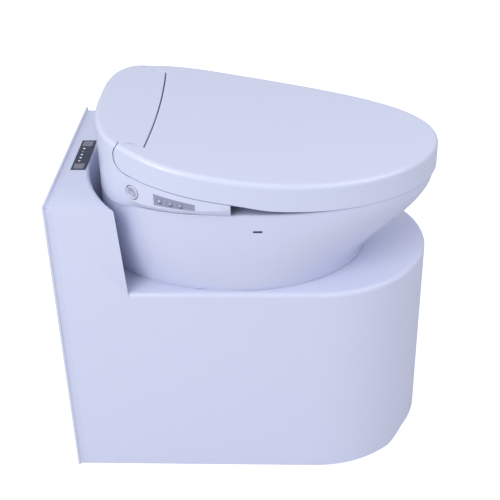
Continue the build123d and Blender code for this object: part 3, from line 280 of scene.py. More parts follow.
def block(name, x, d, z):
    """A box over its spans of width, depth and height."""
    bm = bmesh.new()
    bmesh.ops.create_cube(bm, size=1.0)
    low, high = at(x[0], d[1], z[0]), at(x[1], d[0], z[1])
    bmesh.ops.scale(bm, verts=bm.verts[:], vec=high - low)
    bmesh.ops.translate(bm, verts=bm.verts[:], vec=(low + high) / 2)
    return new_piece(name, bm)


def rod(name, radius, start, end, segments=64):
    """A cylinder from one place to another."""
    bm = bmesh.new()
    way = end - start
    turn = way.to_track_quat("Z", "Y").to_matrix().to_4x4()
    bmesh.ops.create_cone(
        bm,
        cap_ends=True,
        segments=segments,
        radius1=radius / 1000,
        radius2=radius / 1000,
        depth=way.length,
        matrix=Matrix.Translation((start + end) / 2) @ turn,
    )
    return new_piece(name, bm)


def turned(name, profile, frame_out):
    """A closed form turned about a frame's Z axis from places of radius and height."""

    def row(radius, height):
        def place(turn):
            return frame_out @ (Vector((radius * math.cos(turn), radius * math.sin(turn), height)) / 1000)

        return place

    return wrapped(name, [row(*place) for place in profile], 72)


def laid_on(name, bm, holder, d, z, lift, thickness):
    """Lays a flat mesh on a piece's right side, about a place, and thickens it."""
    for v in bm.verts:
        start = at(-WIDE, d + v.co.x, z + v.co.y)
        hit, spot, normal, face = holder.ray_cast(start, Vector((1, 0, 0)))
        if not hit:
            raise RuntimeError(f"{name} misses {holder.name}")
        v.co = spot - Vector((lift / 1000, 0, 0))
    bmesh.ops.solidify(bm, geom=bm.faces[:], thickness=thickness / 1000)
    bmesh.ops.recalc_face_normals(bm, faces=bm.faces[:])
    return new_piece(name, bm)


def carve(piece, tool, operation="DIFFERENCE"):
    """Cuts a piece with another form, which is then removed."""
    cut = piece.modifiers.new("cut", "BOOLEAN")
    cut.operation = operation
    cut.object = tool
    cut.solver = "MANIFOLD"
    bpy.context.view_layer.update()
    view = bpy.context.evaluated_depsgraph_get()
    mesh = bpy.data.meshes.new_from_object(piece.evaluated_get(view))
    piece.modifiers.clear()
    piece.data = mesh
    bpy.data.objects.remove(tool)
    if not mesh.polygons:
        raise RuntimeError(f"nothing is left of {piece.name}")
    return piece


def shade_by_area(piece):
    """Lets the large faces lead the smooth shading."""
    shade = piece.modifiers.new("shade", "WEIGHTED_NORMAL")
    shade.mode = "FACE_AREA"
    shade.keep_sharp = True


def soften(piece, width, angle=35.0):
    """Breaks the sharp edges and shades what lies between them smoothly."""
    bm = bmesh.new()
    bm.from_mesh(piece.data)
    bmesh.ops.remove_doubles(bm, verts=bm.verts[:], dist=width / 2500)
    bmesh.ops.dissolve_degenerate(bm, edges=bm.edges[:], dist=width / 8000)
    for face in bm.faces:
        face.smooth = True
    bm.to_mesh(piece.data)
    bm.free()
    edges = piece.modifiers.new("edges", "BEVEL")
    edges.width = width / 1000
    edges.segments = 2
    edges.limit_method = "ANGLE"
    edges.angle_limit = math.radians(angle)
    edges.use_clamp_overlap = False
    shade_by_area(piece)
    return piece


# Seat unit forms


def crown(name, inset, low, rounding, bevelled=False):
    """The seat unit's full form, from a height up to its top."""

    def scaled(share, turn, extra):
        x, d = seat_place(turn, inset + extra)
        return share * x, SEAT_CENTRE + share * (d - SEAT_CENTRE)

    def flat(share):
        def place(turn):
            depth = scaled(1.0, turn, 0)[1]
            slope = (BEVEL_TOP - low) / (BEVEL_TOP - COVER_BOTTOM)
            x, d = scaled(share, turn, bevel_at(depth) * slope if bevelled else 0)
            return at(x, d, low)

        return place

    def shoulder(turn):
        x, d = scaled(1.0, turn, 0)
        return at(x, d, BEVEL_TOP)

    def corner(angle):
        def place(turn):
            x, d = scaled(1.0, turn, rounding * (1 - math.cos(angle)))
            return at(x, d, top_height(d) - inset - rounding * (1 - math.sin(angle)))

        return place

    def cap(share):
        def place(turn):
            x, d = scaled(share, turn, rounding)
            return at(x, d, top_height(d) - inset)

        return place

    rows = [flat(0.0), flat(1.0)] + ([shoulder] if bevelled else [])
    rows += [corner(math.pi / 2 * n / 6) for n in range(7)]
    rows += [cap(1 - n / 16) for n in range(1, 17)]
    return wrapped(name, rows, AROUND)


def outline_prism(name, inset, low, high):
    """The seat unit's outline carried straight up between two heights."""

    def level(share, z):
        def place(turn):
            x, d = seat_place(turn, inset)
            return at(share * x, SEAT_CENTRE + share * (d - SEAT_CENTRE), z)

        return place

    return wrapped(name, [level(0, low), level(1, low), level(1, high), level(0, high)], AROUND)


def under_top(name, drop, start, end, limit, extra=0.0):
    """All between the seat unit's top, lowered by drop, and a height."""

    def place(across, along):
        d = start + (end - start) * along
        near = 1 - eased(d, AXIS_DEPTH, AXIS_DEPTH + HINGE_REACH)
        deeper = extra * eased(d, *SKIRT_BLEND) + HINGE_DROP * near
        return at((across * 2 - 1) * WIDE, d, top_height(d) - drop - deeper)

    return raised(name, 1, 60, place, limit)


def arm_block(name, inset, front, low, high):
    """The space between the lid's arms, up to the panel's curved rear edge."""
    half = ARM_HALF - inset
    radius = (half**2 + PANEL_SAG**2) / (2 * PANEL_SAG)

    def place(across, along):
        x = (across * 2 - 1) * half
        edge = PANEL_DEPTH - front - radius + math.sqrt(radius**2 - x**2)
        return at(x, edge * along, low)

    return raised(name, 32, 1, place, high)


def behind_axis(name, radius, clear):
    """All behind the hinge's axis but a rod about it."""
    piece = block(name, (-WIDE, WIDE), (0, AXIS_DEPTH), (LOW, HIGH))
    return carve(piece, hinge_rod("keep", radius, clear))


def hinge_rod(name, radius, reach=WIDE):
    """A cylinder about the hinge's axis."""
    ends = [at(x, AXIS_DEPTH, AXIS_HEIGHT) for x in (-reach, reach)]
    return rod(name, radius, *ends, 128)


def lid_form(inset, rounding):
    """The lid's outer form, or the hollow in it when it is inset."""
    form = crown("lid_panel", inset, LID_LOW, rounding)
    carve(form, behind_axis("behind", ARM_RADIUS - inset, WIDE + 10))
    carve(form, arm_block("between", -inset, 0, LOW, HIGH))
    return form


def housing_form(inset, rounding):
    """The fixed cover's outer form, or the hollow in it when it is inset."""
    gap = LID_GAP + inset
    front = PANEL_GAP - LID_GAP + gap
    ahead = NOSE_DEPTH - inset
    room = LUG_ROOM + inset
    form = crown("seat_housing", inset, COVER_BOTTOM - inset * 2, rounding, True)
    between_arms = (gap, front, LOW - 100, HIGH + 50)
    over = under_top("over", SKIRT + gap, *OVER)
    carve(over, arm_block("between", *between_arms))
    carve(form, over)
    knuckle = hinge_rod("knuckle", ARM_RADIUS + gap)
    carve(knuckle, arm_block("between", *between_arms))
    carve(form, knuckle)
    carve(form, block("ahead", (-room, WIDE), (ahead, DEEP), (LOW, HIGH)))
    inside = outline_prism("inside", WING_WIDTH - inset, LOW, HIGH)
    carve(inside, block("rear", (-WIDE - 10, WIDE + 10), (-10, ahead), (LOW - 10, HIGH + 10)))
    carve(form, inside)
    carve(form, block("beyond", (-WIDE, WIDE), (WING_DEPTH - inset, DEEP), (LOW, HIGH)))
    above = block("above", (-room, room), (AXIS_DEPTH + ARM_RADIUS, DEEP), (NOSE_TOP - inset, HIGH))
    carve(above, arm_block("between", *between_arms))
    carve(form, above)
    return form


def nozzle_way(name):
    """The way that the wash nozzle slides out along."""
    slope = math.radians(NOZZLE_SLOPE)
    along = Vector((0, -math.cos(slope), -math.sin(slope)))
    tip = at(0, NOZZLE_DEPTH, NOZZLE_HEIGHT)
    return rod(name, NOZZLE_RADIUS + NOZZLE_ROOM, tip - along * 0.06, tip + along * 0.03)


def side_frame(d, z):
    """A frame on the user's right side of the seat unit, with +Z straight out of it."""
    slope = seat_half(d + 0.5) - seat_half(d - 0.5)
    out = Vector((-1, slope, 0)).normalized()
    along = Vector((slope, 1, 0)).normalized()
    turn = Matrix((along, out.cross(along), out)).transposed().to_4x4()
    return Matrix.Translation(at(-seat_half(d), d, z)) @ turn


def key_height(d):
    """Height of the key strip's middle at a depth."""
    share = (d - STRIP[0][0]) / (STRIP[1][0] - STRIP[0][0])
    top = STRIP[0][1] + share * (STRIP[1][1] - STRIP[0][1])
    bottom = STRIP[3][1] + share * (STRIP[2][1] - STRIP[3][1])
    return (top + bottom) / 2


def side_block(name, d, z, size, low, high):
    """A box on the side's own frame, between two heights over its surface."""
    bm = bmesh.new()
    bmesh.ops.create_cube(bm, size=1.0)
    bmesh.ops.scale(bm, verts=bm.verts[:], vec=Vector((size[0], size[1], high - low)) / 1000)
    bmesh.ops.translate(bm, verts=bm.verts[:], vec=(0, 0, (low + high) / 2000))
    bmesh.ops.transform(bm, verts=bm.verts[:], matrix=side_frame(d, z))
    return new_piece(name, bm)


def strip_recess(name):
    """The shallow tapered seat that the key strip lies in."""
    bm = bmesh.new()
    face = bm.faces.new([bm.verts.new(at(-WIDE, d, z)) for d, z in STRIP])
    carried = bmesh.ops.extrude_face_region(bm, geom=[face])["geom"]
    for v in carried:
        if isinstance(v, bmesh.types.BMVert):
            v.co.x = 0
    bmesh.ops.recalc_face_normals(bm, faces=bm.faces[:])
    recess = new_piece(name, bm)
    return carve(recess, outline_prism("core", STRIP_DEPTH, LOW, HIGH))


# Finishes

COLOUR, NUMBER, WAY = "NodeSocketColor", "NodeSocketFloat", "NodeSocketVector"


def socket(group, name, kind, way, value=None):
    made = group.interface.new_socket(name=name, in_out=way, socket_type=kind)
    if value is not None:
        made.default_value = value


def new_group(name, takes, gives):
    """An empty shader node group with named inputs and outputs."""
    group = bpy.data.node_groups.new(name, "ShaderNodeTree")
    for title, kind, value in takes:
        socket(group, title, kind, "INPUT", value)
    for title, kind in gives:
        socket(group, title, kind, "OUTPUT")
    return group, group.nodes.new("NodeGroupInput"), group.nodes.new("NodeGroupOutput")


def noise(tree, coords, detail, scale=None):
    made = tree.nodes.new("ShaderNodeTexNoise")
    made.inputs["Detail"].default_value = detail
    if scale is not None:
        made.inputs["Scale"].default_value = scale
    tree.links.new(coords, made.inputs["Vector"])
    return made


def math_node(tree, operation, *values):
    made = tree.nodes.new("ShaderNodeMath")
    made.operation = operation
    for n, value in enumerate(values):
        if isinstance(value, (int, float)):
            made.inputs[n].default_value = value
        else:
            tree.links.new(value, made.inputs[n])
    return made.outputs[0]


def times(tree, first, second):
    return math_node(tree, "MULTIPLY", first, second)


def mix_colour(tree, factor, first, second, blend="MIX"):
    made = tree.nodes.new("ShaderNodeMix")
    made.data_type = "RGBA"
    made.blend_type = blend
    for value, name in ((factor, "Factor_Float"), (first, "A_Color"), (second, "B_Color")):
        place = next(s for s in made.inputs if s.identifier == name)
        if isinstance(value, (int, float, tuple)):
            place.default_value = value
        else:
            tree.links.new(value, place)
    return next(s for s in made.outputs if s.identifier == "Result_Color")


def mapped(tree, value, low, high):
    made = tree.nodes.new("ShaderNodeMapRange")
    tree.links.new(value, made.inputs["Value"])
    made.inputs["From Min"].default_value = low
    made.inputs["From Max"].default_value = high
    return made.outputs["Result"]


def object_coords(tree):
    return tree.nodes.new("ShaderNodeTexCoord").outputs["Object"]


def moulding_group():
    """Moulded plastic: faint clouds of shade, a fine grain and uneven gloss."""
    group, given, out = new_group(
        "moulding",
        [
            ("Colour", COLOUR, (0.8, 0.8, 0.8, 1)),
            ("Shade", COLOUR, (0.7, 0.7, 0.8, 1)),
            ("Clouds", NUMBER, 0.3),
            ("Cloud Scale", NUMBER, 9.0),
            ("Grain Scale", NUMBER, 900.0),
            ("Roughness", NUMBER, 0.35),
            ("Uneven", NUMBER, 0.08),
        ],
        [("Colour", COLOUR), ("Roughness", NUMBER), ("Height", NUMBER)],
    )
    coords = object_coords(group)
    clouds = noise(group, coords, 3.0)
    group.links.new(given.outputs["Cloud Scale"], clouds.inputs["Scale"])
    amount = times(group, clouds.outputs["Fac"], given.outputs["Clouds"])
    colour = mix_colour(group, amount, given.outputs["Colour"], given.outputs["Shade"])
    grain = noise(group, coords, 2.0)
    group.links.new(given.outputs["Grain Scale"], grain.inputs["Scale"])
    smears = noise(group, coords, 4.0, 38.0)
    level = math_node(group, "SUBTRACT", smears.outputs["Fac"], 0.5)
    spread = times(group, level, given.outputs["Uneven"])
    rough = math_node(group, "ADD", given.outputs["Roughness"], spread)
    group.links.new(colour, out.inputs["Colour"])
    group.links.new(rough, out.inputs["Roughness"])
    group.links.new(grain.outputs["Fac"], out.inputs["Height"])
    return group


def wear_and_shade_group():
    """Edge wear and painted shade: corners rubbed lighter, and creases darkened as painted shade."""
    group, given, out = new_group(
        "edge_wear_and_shade",
        [
            ("Colour", COLOUR, (0.8, 0.8, 0.8, 1)),
            ("Worn", COLOUR, (0.95, 0.95, 1.0, 1)),
            # the darker tone for the creases and, below, its amount are painted shade
            ("CreaseShade", COLOUR, (0.35, 0.35, 0.4, 1)),
            ("Wear", NUMBER, 0.3),
            ("Dirt", NUMBER, 0.2),
        ],
        [("Colour", COLOUR)],
    )
    pointed = group.nodes.new("ShaderNodeNewGeometry").outputs["Pointiness"]
    patches = noise(group, object_coords(group), 5.0, 60.0).outputs["Fac"]
    edge = mapped(group, pointed, 0.505, 0.56)
    rubbed = times(group, edge, patches)
    worn = times(group, rubbed, given.outputs["Wear"])
    # Painted shade: the creases get the darker tone, in patches.
    shade_mask = mapped(group, pointed, 0.495, 0.44)
    patchy_shade = times(group, shade_mask, patches)
    shade_amount = times(group, patchy_shade, given.outputs["Dirt"])
    light = mix_colour(group, worn, given.outputs["Colour"], given.outputs["Worn"])
    colour = mix_colour(group, shade_amount, light, given.outputs["CreaseShade"])
    group.links.new(colour, out.inputs["Colour"])
    return group


def metal_group():
    """Drawn or turned metal: fine streaks one way, with patches of dullness."""
    group, given, out = new_group(
        "worked_metal",
        [
            ("Colour", COLOUR, (0.6, 0.6, 0.62, 1)),
            ("Dull", COLOUR, (0.4, 0.4, 0.42, 1)),
            ("Stretch", WAY, (40.0, 1200.0, 1200.0)),
            ("Roughness", NUMBER, 0.3),
            ("Spread", NUMBER, 0.2),
        ],
        [("Colour", COLOUR), ("Roughness", NUMBER), ("Height", NUMBER)],
    )
    coords = object_coords(group)
    stretched = group.nodes.new("ShaderNodeVectorMath")
    stretched.operation = "MULTIPLY"
    group.links.new(coords, stretched.inputs[0])
    group.links.new(given.outputs["Stretch"], stretched.inputs[1])
    streaks = noise(group, stretched.outputs[0], 3.0, 1.0).outputs["Fac"]
    patches = noise(group, coords, 4.0, 45.0).outputs["Fac"]
    dulled = mapped(group, patches, 0.35, 0.75)
    colour = mix_colour(group, dulled, given.outputs["Colour"], given.outputs["Dull"])
    spread = times(group, streaks, given.outputs["Spread"])
    rough = math_node(group, "ADD", given.outputs["Roughness"], spread)
    group.links.new(colour, out.inputs["Colour"])
    group.links.new(rough, out.inputs["Roughness"])
    group.links.new(streaks, out.inputs["Height"])
    return group


def shared_group(name):
    """A shared node group, made the first time that it is asked for."""
    makers = {"moulding": moulding_group, "edge_wear_and_shade": wear_and_shade_group, "worked_metal": metal_group}
    found = bpy.data.node_groups.get(name)
    return found or makers[name]()


def new_material(name):
    """A material with its shader, and nothing linked to it yet."""
    material = bpy.data.materials.new(name)
    material.use_nodes = True
    return material, material.node_tree, material.node_tree.nodes["Principled BSDF"]


def placed_group(tree, name, **values):
    made = tree.nodes.new("ShaderNodeGroup")
    made.node_tree = shared_group(name)
    for title, value in values.items():
        made.inputs[title.replace("_", " ")].default_value = value
    return made


def bumped(tree, shader, height, strength, distance):
    bump = tree.nodes.new("ShaderNodeBump")
    bump.inputs["Strength"].default_value = strength
    bump.inputs["Distance"].default_value = distance
    tree.links.new(height, bump.inputs["Height"])
    tree.links.new(bump.outputs["Normal"], shader.inputs["Normal"])


def opaque(colour):
    return (colour[0], colour[1], colour[2], 1.0)


def darker(colour, share):
    return tuple(c * share for c in colour[:3]) + (1.0,)


def worn_finish(tree, shader, body, worn, bump, distance):
    """Takes a group's colour through the edge wear and the painted crease shade, and its gloss and height to
    the shader.
    """
    tree.links.new(body.outputs["Colour"], worn.inputs["Colour"])
    tree.links.new(worn.outputs["Colour"], shader.inputs["Base Color"])
    tree.links.new(body.outputs["Roughness"], shader.inputs["Roughness"])
    bumped(tree, shader, body.outputs["Height"], bump, distance)


def once(maker):
    """Makes a material the first time that its name is asked for."""

    def made(name, *values, **named):
        return bpy.data.materials.get(name) or maker(name, *values, **named)

    return made


@once
def plastic(
    name, colour, roughness=0.35, coat=0.0, clouds=0.25, grain=900.0, bump=0.05, wear=0.25, crease_shading=0.2,
    gloss=0.5,
):
    """Moulded plastic with its clouds, grain and edge wear, and painted shade in its creases."""
    material, tree, shader = new_material(name)
    body = placed_group(
        tree,
        "moulding",
        Colour=opaque(colour),
        Shade=darker(colour, 0.93),
        Clouds=clouds,
        Grain_Scale=grain,
        Roughness=roughness,
    )
    # the darker tone is painted shade in the creases
    tones = {"Worn": darker(colour, 1.06), "CreaseShade": darker(colour, 0.5)}
    worn = placed_group(tree, "edge_wear_and_shade", Wear=wear, Dirt=crease_shading, **tones)
    shader.inputs["Coat Weight"].default_value = coat
    shader.inputs["Coat Roughness"].default_value = 0.08
    shader.inputs["Specular IOR Level"].default_value = gloss
    worn_finish(tree, shader, body, worn, bump, 0.0002)
    return material


@once
def metal(name, colour, roughness=0.28, spread=0.2):
    """Bare metal with its working marks and dull patches, and painted shade in its creases."""
    material, tree, shader = new_material(name)
    body = placed_group(
        tree,
        "worked_metal",
        Colour=opaque(colour),
        Dull=darker(colour, 0.7),
        Stretch=(60.0, 1400.0, 1400.0),
        Roughness=roughness,
        Spread=spread,
    )
    # the darker tone is painted shade in the creases
    tones = {"Worn": darker(colour, 1.3), "CreaseShade": darker(colour, 0.3)}
    worn = placed_group(tree, "edge_wear_and_shade", Wear=0.6, Dirt=0.6, **tones)
    shader.inputs["Metallic"].default_value = 1.0
    worn_finish(tree, shader, body, worn, 0.15, 0.0001)
    return material


def rubber(name, colour):
    """Dull moulded rubber with a dusty bloom, and painted shade in its creases."""
    return plastic(name, colour, roughness=0.78, clouds=0.6, grain=1400.0, bump=0.25, wear=0.5, crease_shading=0.4)


@once
def hatched(name, colour, line):
    """A display window with fine printed lines across it."""
    material, tree, shader = new_material(name)
    body = placed_group(tree, "moulding", Colour=opaque(colour), Shade=darker(colour, 0.85), Roughness=0.2)
    bands = tree.nodes.new("ShaderNodeTexWave")
    bands.bands_direction = "X"
    bands.inputs["Scale"].default_value = 190.0
    tree.links.new(object_coords(tree), bands.inputs["Vector"])
    share = mapped(tree, bands.outputs["Fac"], 0.35, 0.65)
    tree.links.new(mix_colour(tree, share, body.outputs["Colour"], opaque(line)), shader.inputs["Base Color"])
    tree.links.new(body.outputs["Roughness"], shader.inputs["Roughness"])
    shader.inputs["Specular IOR Level"].default_value = 0.25
    return material


@once
def lights(name, tones):
    """The row of indicator lights, each with its own tone from its place across the display."""
    material, tree, shader = new_material(name)
    parts = tree.nodes.new("ShaderNodeSeparateXYZ")
    tree.links.new(object_coords(tree), parts.inputs[0])
    reach = LIGHT_PITCH * len(tones) / 2000
    ramp = tree.nodes.new("ShaderNodeValToRGB")
    ramp.color_ramp.interpolation = "CONSTANT"
    marks = ramp.color_ramp.elements
    while len(marks) < len(tones):
        marks.new(0.5)
    for n, tone in enumerate(tones):
        marks[n].position = n / len(tones)
        marks[n].color = opaque(tone)
    tree.links.new(mapped(tree, parts.outputs["X"], -reach, reach), ramp.inputs["Fac"])
    body = placed_group(tree, "moulding", Colour=(1, 1, 1, 1), Shade=(0.8, 0.8, 0.85, 1), Roughness=0.25)
    shown = mix_colour(tree, 1.0, body.outputs["Colour"], ramp.outputs["Color"], "MULTIPLY")
    tree.links.new(shown, shader.inputs["Base Color"])
    tree.links.new(ramp.outputs["Color"], shader.inputs["Emission Color"])
    tree.links.new(body.outputs["Roughness"], shader.inputs["Roughness"])
    shader.inputs["Emission Strength"].default_value = 0.35
    return material


def finish_for(slot):
    """The finish of each of the record's material slots."""
    c = bpy.context.scene.toilet_colours
    makers = {
        "shell_white": lambda: plastic("cabinet_plastic", c.shell, 0.42, 0.15, 0.25, 700.0, 0.06),
        "bowl_white": lambda: plastic("bowl_plastic", c.bowl, 0.24, 0.5, 0.2, 1000.0, 0.02),
        "seat_white": lambda: plastic("seat_plastic", c.seat, 0.3, 0.35, 0.2, 1100.0, 0.02),
        "panel_grey": lambda: plastic("strip_plastic", c.strip, 0.36, 0.2, 0.3, 1500.0, 0.05),
        "key_white": lambda: plastic("key_plastic", c.seat, 0.3, 0.3, 0.2, 1500.0, 0.04),
        "display_black": lambda: plastic("display_glass", c.display, 0.3, 0.0, 0.3, 1500.0, 0, gloss=0.2),
        "window_grey": lambda: hatched("window_print", c.window, c.display),
        "light_white": lambda: lights("indicator_glow", LIGHT_TONES),
        "inner_grey": lambda: plastic("inner_plastic", c.inner, 0.5, 0.0, 0.5, 800.0, 0.12, 0.5, 0.5),
        "duct_black": lambda: plastic("duct_plastic", c.duct, 0.48, 0.0, 0.5, 900.0, 0.15, 0.6, 0.3),
        "pad_rubber": lambda: rubber("foot_rubber", (0.035, 0.036, 0.04)),
        "bumper_rubber": lambda: rubber("bumper_rubber", (0.62, 0.64, 0.7)),
        "steel": lambda: metal("bright_steel", (0.62, 0.62, 0.63), 0.22),
        "zinc_steel": lambda: metal("zinc_steel", (0.56, 0.57, 0.56), 0.38, 0.25),
        "bronze": lambda: metal("bearing_bronze", (0.58, 0.38, 0.2), 0.34),
        "gear_plastic": lambda: plastic(
            "gear_plastic", (0.72, 0.7, 0.62), 0.4, 0.0, 0.4, 900.0, 0.1, 0.6, 0.6
        ),
        "heater_orange": lambda: rubber("heater_silicone", (0.62, 0.17, 0.045)),
        "board_green": lambda: plastic("circuit_board", (0.02, 0.16, 0.07), 0.35, 0.4, 0.6, 500.0, 0.2),
    }
    return makers[slot]()


def dress(nodes):
    """Gives CAD nodes the finish of their slots."""
    slots = {part["node"]: part["material_slot"] for part in frame["record"]["subparts"]}
    for name in nodes:
        piece = NODES[name]
        for place in piece.material_slots:
            place.material = finish_for(slots[name])


def finish_piece(piece, slot, body, *nodes):
    """Sets a new piece's finish and the body that it rides on, and hides the nodes that it stands for."""
    piece.data.materials.clear()
    piece.data.materials.append(finish_for(slot))
    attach(piece, body)
    if nodes:
        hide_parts(*nodes)


# What a user would change


def length_property(name, description, value, least, most):
    return bpy.props.FloatProperty(
        name=name, description=f"{description}, in millimetres", default=value, min=least, max=most
    )


def colour_property(name, description, value):
    return bpy.props.FloatVectorProperty(
        name=name, description=description, subtype="COLOR", size=3, min=0, max=1, default=value
    )


class ToiletSizes(bpy.types.PropertyGroup):
    top_round: length_property("Top edge", "Rounding of the seat unit's top edge", 7.5, 1, 9)
    edge_break: length_property("Edge break", "Small rounding of cut edges", 0.6, 0.1, 1.5)
    mark_length: length_property("Bowl mark", "Length of the bar on the bowl's side", 13.0, 5, 30)


class ToiletColours(bpy.types.PropertyGroup):
    shell: colour_property("Cabinet", "Moulded cabinet shell", (0.66, 0.695, 0.86))
    bowl: colour_property("Bowl", "Glossy bowl", (0.65, 0.68, 0.86))
    seat: colour_property("Seat unit", "Lid, seat and housing", (0.66, 0.70, 0.86))
    strip: colour_property("Key strip", "Grey strip round the keys", (0.30, 0.31, 0.44))
    display: colour_property("Display", "Dark display glass", (0.035, 0.046, 0.08))
    window: colour_property("Windows", "Grey windows at the display's ends", (0.40, 0.38, 0.46))
    inner: colour_property("Inner parts", "Chamber, trays and frames", (0.42, 0.44, 0.5))
    duct: colour_property("Duct", "Fan and air duct", (0.03, 0.032, 0.036))
    floor: colour_property("Floor", "Pale studio floor", (0.68, 0.68, 0.7))


class TOILET_OT_stage(bpy.types.Operator):
    """Lays the floor, hangs the lights and sets the camera"""

    bl_idname = "toilet.stage"
    bl_label = "Stage"

    def execute(self, context):
        scene = context.scene
        scene.view_settings.view_transform = "Standard"
        bm = bmesh.new()
        bmesh.ops.create_grid(bm, x_segments=1, y_segments=1, size=9.0)
        floor = new_piece("floor", bm)
        material, tree, shader = new_material("studio_floor")
        body = placed_group(
            tree,
            "moulding",
            Colour=opaque(scene.toilet_colours.floor),
            Shade=darker(scene.toilet_colours.floor, 0.98),
            Cloud_Scale=1.5,
            Grain_Scale=300.0,
            Roughness=0.85,
        )
        tree.links.new(body.outputs["Colour"], shader.inputs["Base Color"])
        tree.links.new(body.outputs["Roughness"], shader.inputs["Roughness"])
        shader.inputs["Specular IOR Level"].default_value = 0.2
        shader.inputs["Emission Color"].default_value = (1, 1, 1, 1)
        seen = tree.nodes.new("ShaderNodeLightPath").outputs["Is Camera Ray"]
        tree.links.new(times(tree, seen, FLOOR_GLOW), shader.inputs["Emission Strength"])
        floor.data.materials.append(material)
        world = bpy.data.worlds.new("studio")
        scene.world = world
        world.use_nodes = True
        sky = world.node_tree.nodes["Background"]
        sky.inputs["Color"].default_value = SKY_COLOUR
        sky.inputs["Strength"].default_value = SKY_STRENGTH
        for lamp in LAMPS:
            self.lamp(*lamp)
        self.camera(scene)
        return {"FINISHED"}

    def lamp(self, name, place, aim, size, power):
        light = bpy.data.lights.new(name, "AREA")
        light.shape = "DISK"
        light.size = size
        light.energy = power
        lamp = bpy.data.objects.new(name, light)
        bpy.context.scene.collection.objects.link(lamp)
        lamp.location = place
        lamp.rotation_mode = "QUATERNION"
        lamp.rotation_quaternion = (Vector(aim) - Vector(place)).to_track_quat("-Z", "Y")

    def camera(self, scene):
        """Sets the camera at the photograph's viewing angle."""
        lens = bpy.data.cameras.new("camera")
        lens.lens = CAMERA_LENS
        lens.sensor_width = 36.0
        lens.clip_start, lens.clip_end = 0.05, 60.0
        camera = bpy.data.objects.new("camera", lens)
        scene.collection.objects.link(camera)
        forward = Vector(CAMERA_WAY)
        right = forward.cross(Vector((0, 0, 1))).normalized()
        up = right.cross(forward)
        tilt = math.radians(CAMERA_TILT)
        across = math.cos(tilt) * right + math.sin(tilt) * up
        upward = math.cos(tilt) * up - math.sin(tilt) * right
        turn = Matrix((across, upward, -forward)).transposed().to_4x4()
        camera.matrix_world = Matrix.Translation(CAMERA_PLACE) @ turn
        scene.camera = camera


class TOILET_OT_lid(bpy.types.Operator):
    """Makes the lid: a hollow shell with a rounded top edge and two round-ended arms"""

    bl_idname = "toilet.lid"
    bl_label = "Lid"

    def execute(self, context):
        sizes = context.scene.toilet_sizes
        lid = lid_form(0.0, sizes.top_round)
        carve(lid, under_top("under", SKIRT, *UNDER, SKIRT_EXTRA))
        carve(lid, lid_form(LID_WALL, sizes.top_round - LID_WALL / 2))
        for side in (-1, 1):
            span = sorted(side * x for x in LUG_SLOT[0])
            carve(lid, block("lug_slot", span, *LUG_SLOT[1:]))
        carve(lid, hinge_rod("pin_hole", PIN_RADIUS + PIN_FIT, PIN_REACH))
        soften(lid, sizes.edge_break * 1.5)
        lid.name = "lid_shell"
        finish_piece(lid, "seat_white", "lid", "lid")
        dress(["lid_bumpers"])
        return {"FINISHED"}


class TOILET_OT_housing(bpy.types.Operator):
    """Makes the fixed cover behind the lid with its wing, and the seats of the controls"""

    bl_idname = "toilet.housing"
    bl_label = "Housing"

    def execute(self, context):
        sizes = context.scene.toilet_sizes
        cover = housing_form(0.0, sizes.top_round)
        carve(cover, housing_form(COVER_WALL, sizes.top_round - COVER_WALL / 2))
        soften(cover, sizes.edge_break)
        carve(cover, strip_recess("recess"))
        size = (KEY_SIZE + KEY_FIT, KEY_TALL + KEY_FIT)
        for d in KEYS.values():
            carve(cover, side_block("key_hole", d, key_height(d), size, *KEY_HOLE))
        frame_out = side_frame(BUTTON_DEPTH, BUTTON_HEIGHT)
        reach = [frame_out @ Vector((0, 0, z)) for z in (-0.008, 0.008)]
        carve(cover, rod("button_hole", BEZEL_RADIUS + BEZEL_GROOVE, *reach, 96))
        carve(cover, nozzle_way("nozzle_hole"))
        shade_by_area(cover)
        cover.name = "seat_housing"
        finish_piece(cover, "seat_white", "cabinet", "housing_cover")
        return {"FINISHED"}


class TOILET_OT_base(bpy.types.Operator):
    """Makes the plate under the housing, set in behind its bevel, with the posts of the hinge"""

    bl_idname = "toilet.base"
    bl_label = "Seat base"

    def execute(self, context):
        def level(share, z):
            def place(turn):
                d = seat_place(turn, BASE_INSET)[1]
                x, d = seat_place(turn, BASE_INSET + BASE_TUCK * bevel_at(d))
                return at(share * x, SEAT_CENTRE + share * (d - SEAT_CENTRE), z)

            return place

        levels = [(0, BASE_BOTTOM), (1, BASE_BOTTOM), (1, COVER_BOTTOM), (0, COVER_BOTTOM)]
        plate = wrapped("seat_base_plate", [level(*row) for row in levels], AROUND)
        inside = outline_prism("inside", WING_WIDTH - BASE_INSET, LOW, HIGH)
        carve(inside, block("rear", (-WIDE, WIDE), (-10, NOSE_DEPTH), (LOW - 10, HIGH + 10)))
        carve(plate, inside)
        carve(plate, block("other_side", (0, WIDE), (NOSE_DEPTH, DEEP), (LOW, HIGH)))
        carve(plate, block("beyond", (-WIDE, WIDE), (WING_DEPTH, DEEP), (LOW, HIGH)))
        thick = (AXIS_DEPTH - POST_HALF, AXIS_DEPTH + POST_HALF)
        for side in (-1, 1):
            span = sorted(side * x for x in POST)
            carve(plate, block("post", span, thick, (COVER_BOTTOM - 0.5, AXIS_HEIGHT)), "UNION")
            place = [at(side * SEAT_BOLT[0], SEAT_BOLT[1], z) for z in (460, 500)]
            carve(plate, rod("bolt_hole", SEAT_BOLT_RADIUS, *place))
        carve(plate, hinge_rod("damper_seat", DAMPER_RADIUS))
        carve(plate, nozzle_way("nozzle_hole"))
        soften(plate, 0.4)
        finish_piece(plate, "shell_white", "cabinet", "seat_base")
        return {"FINISHED"}


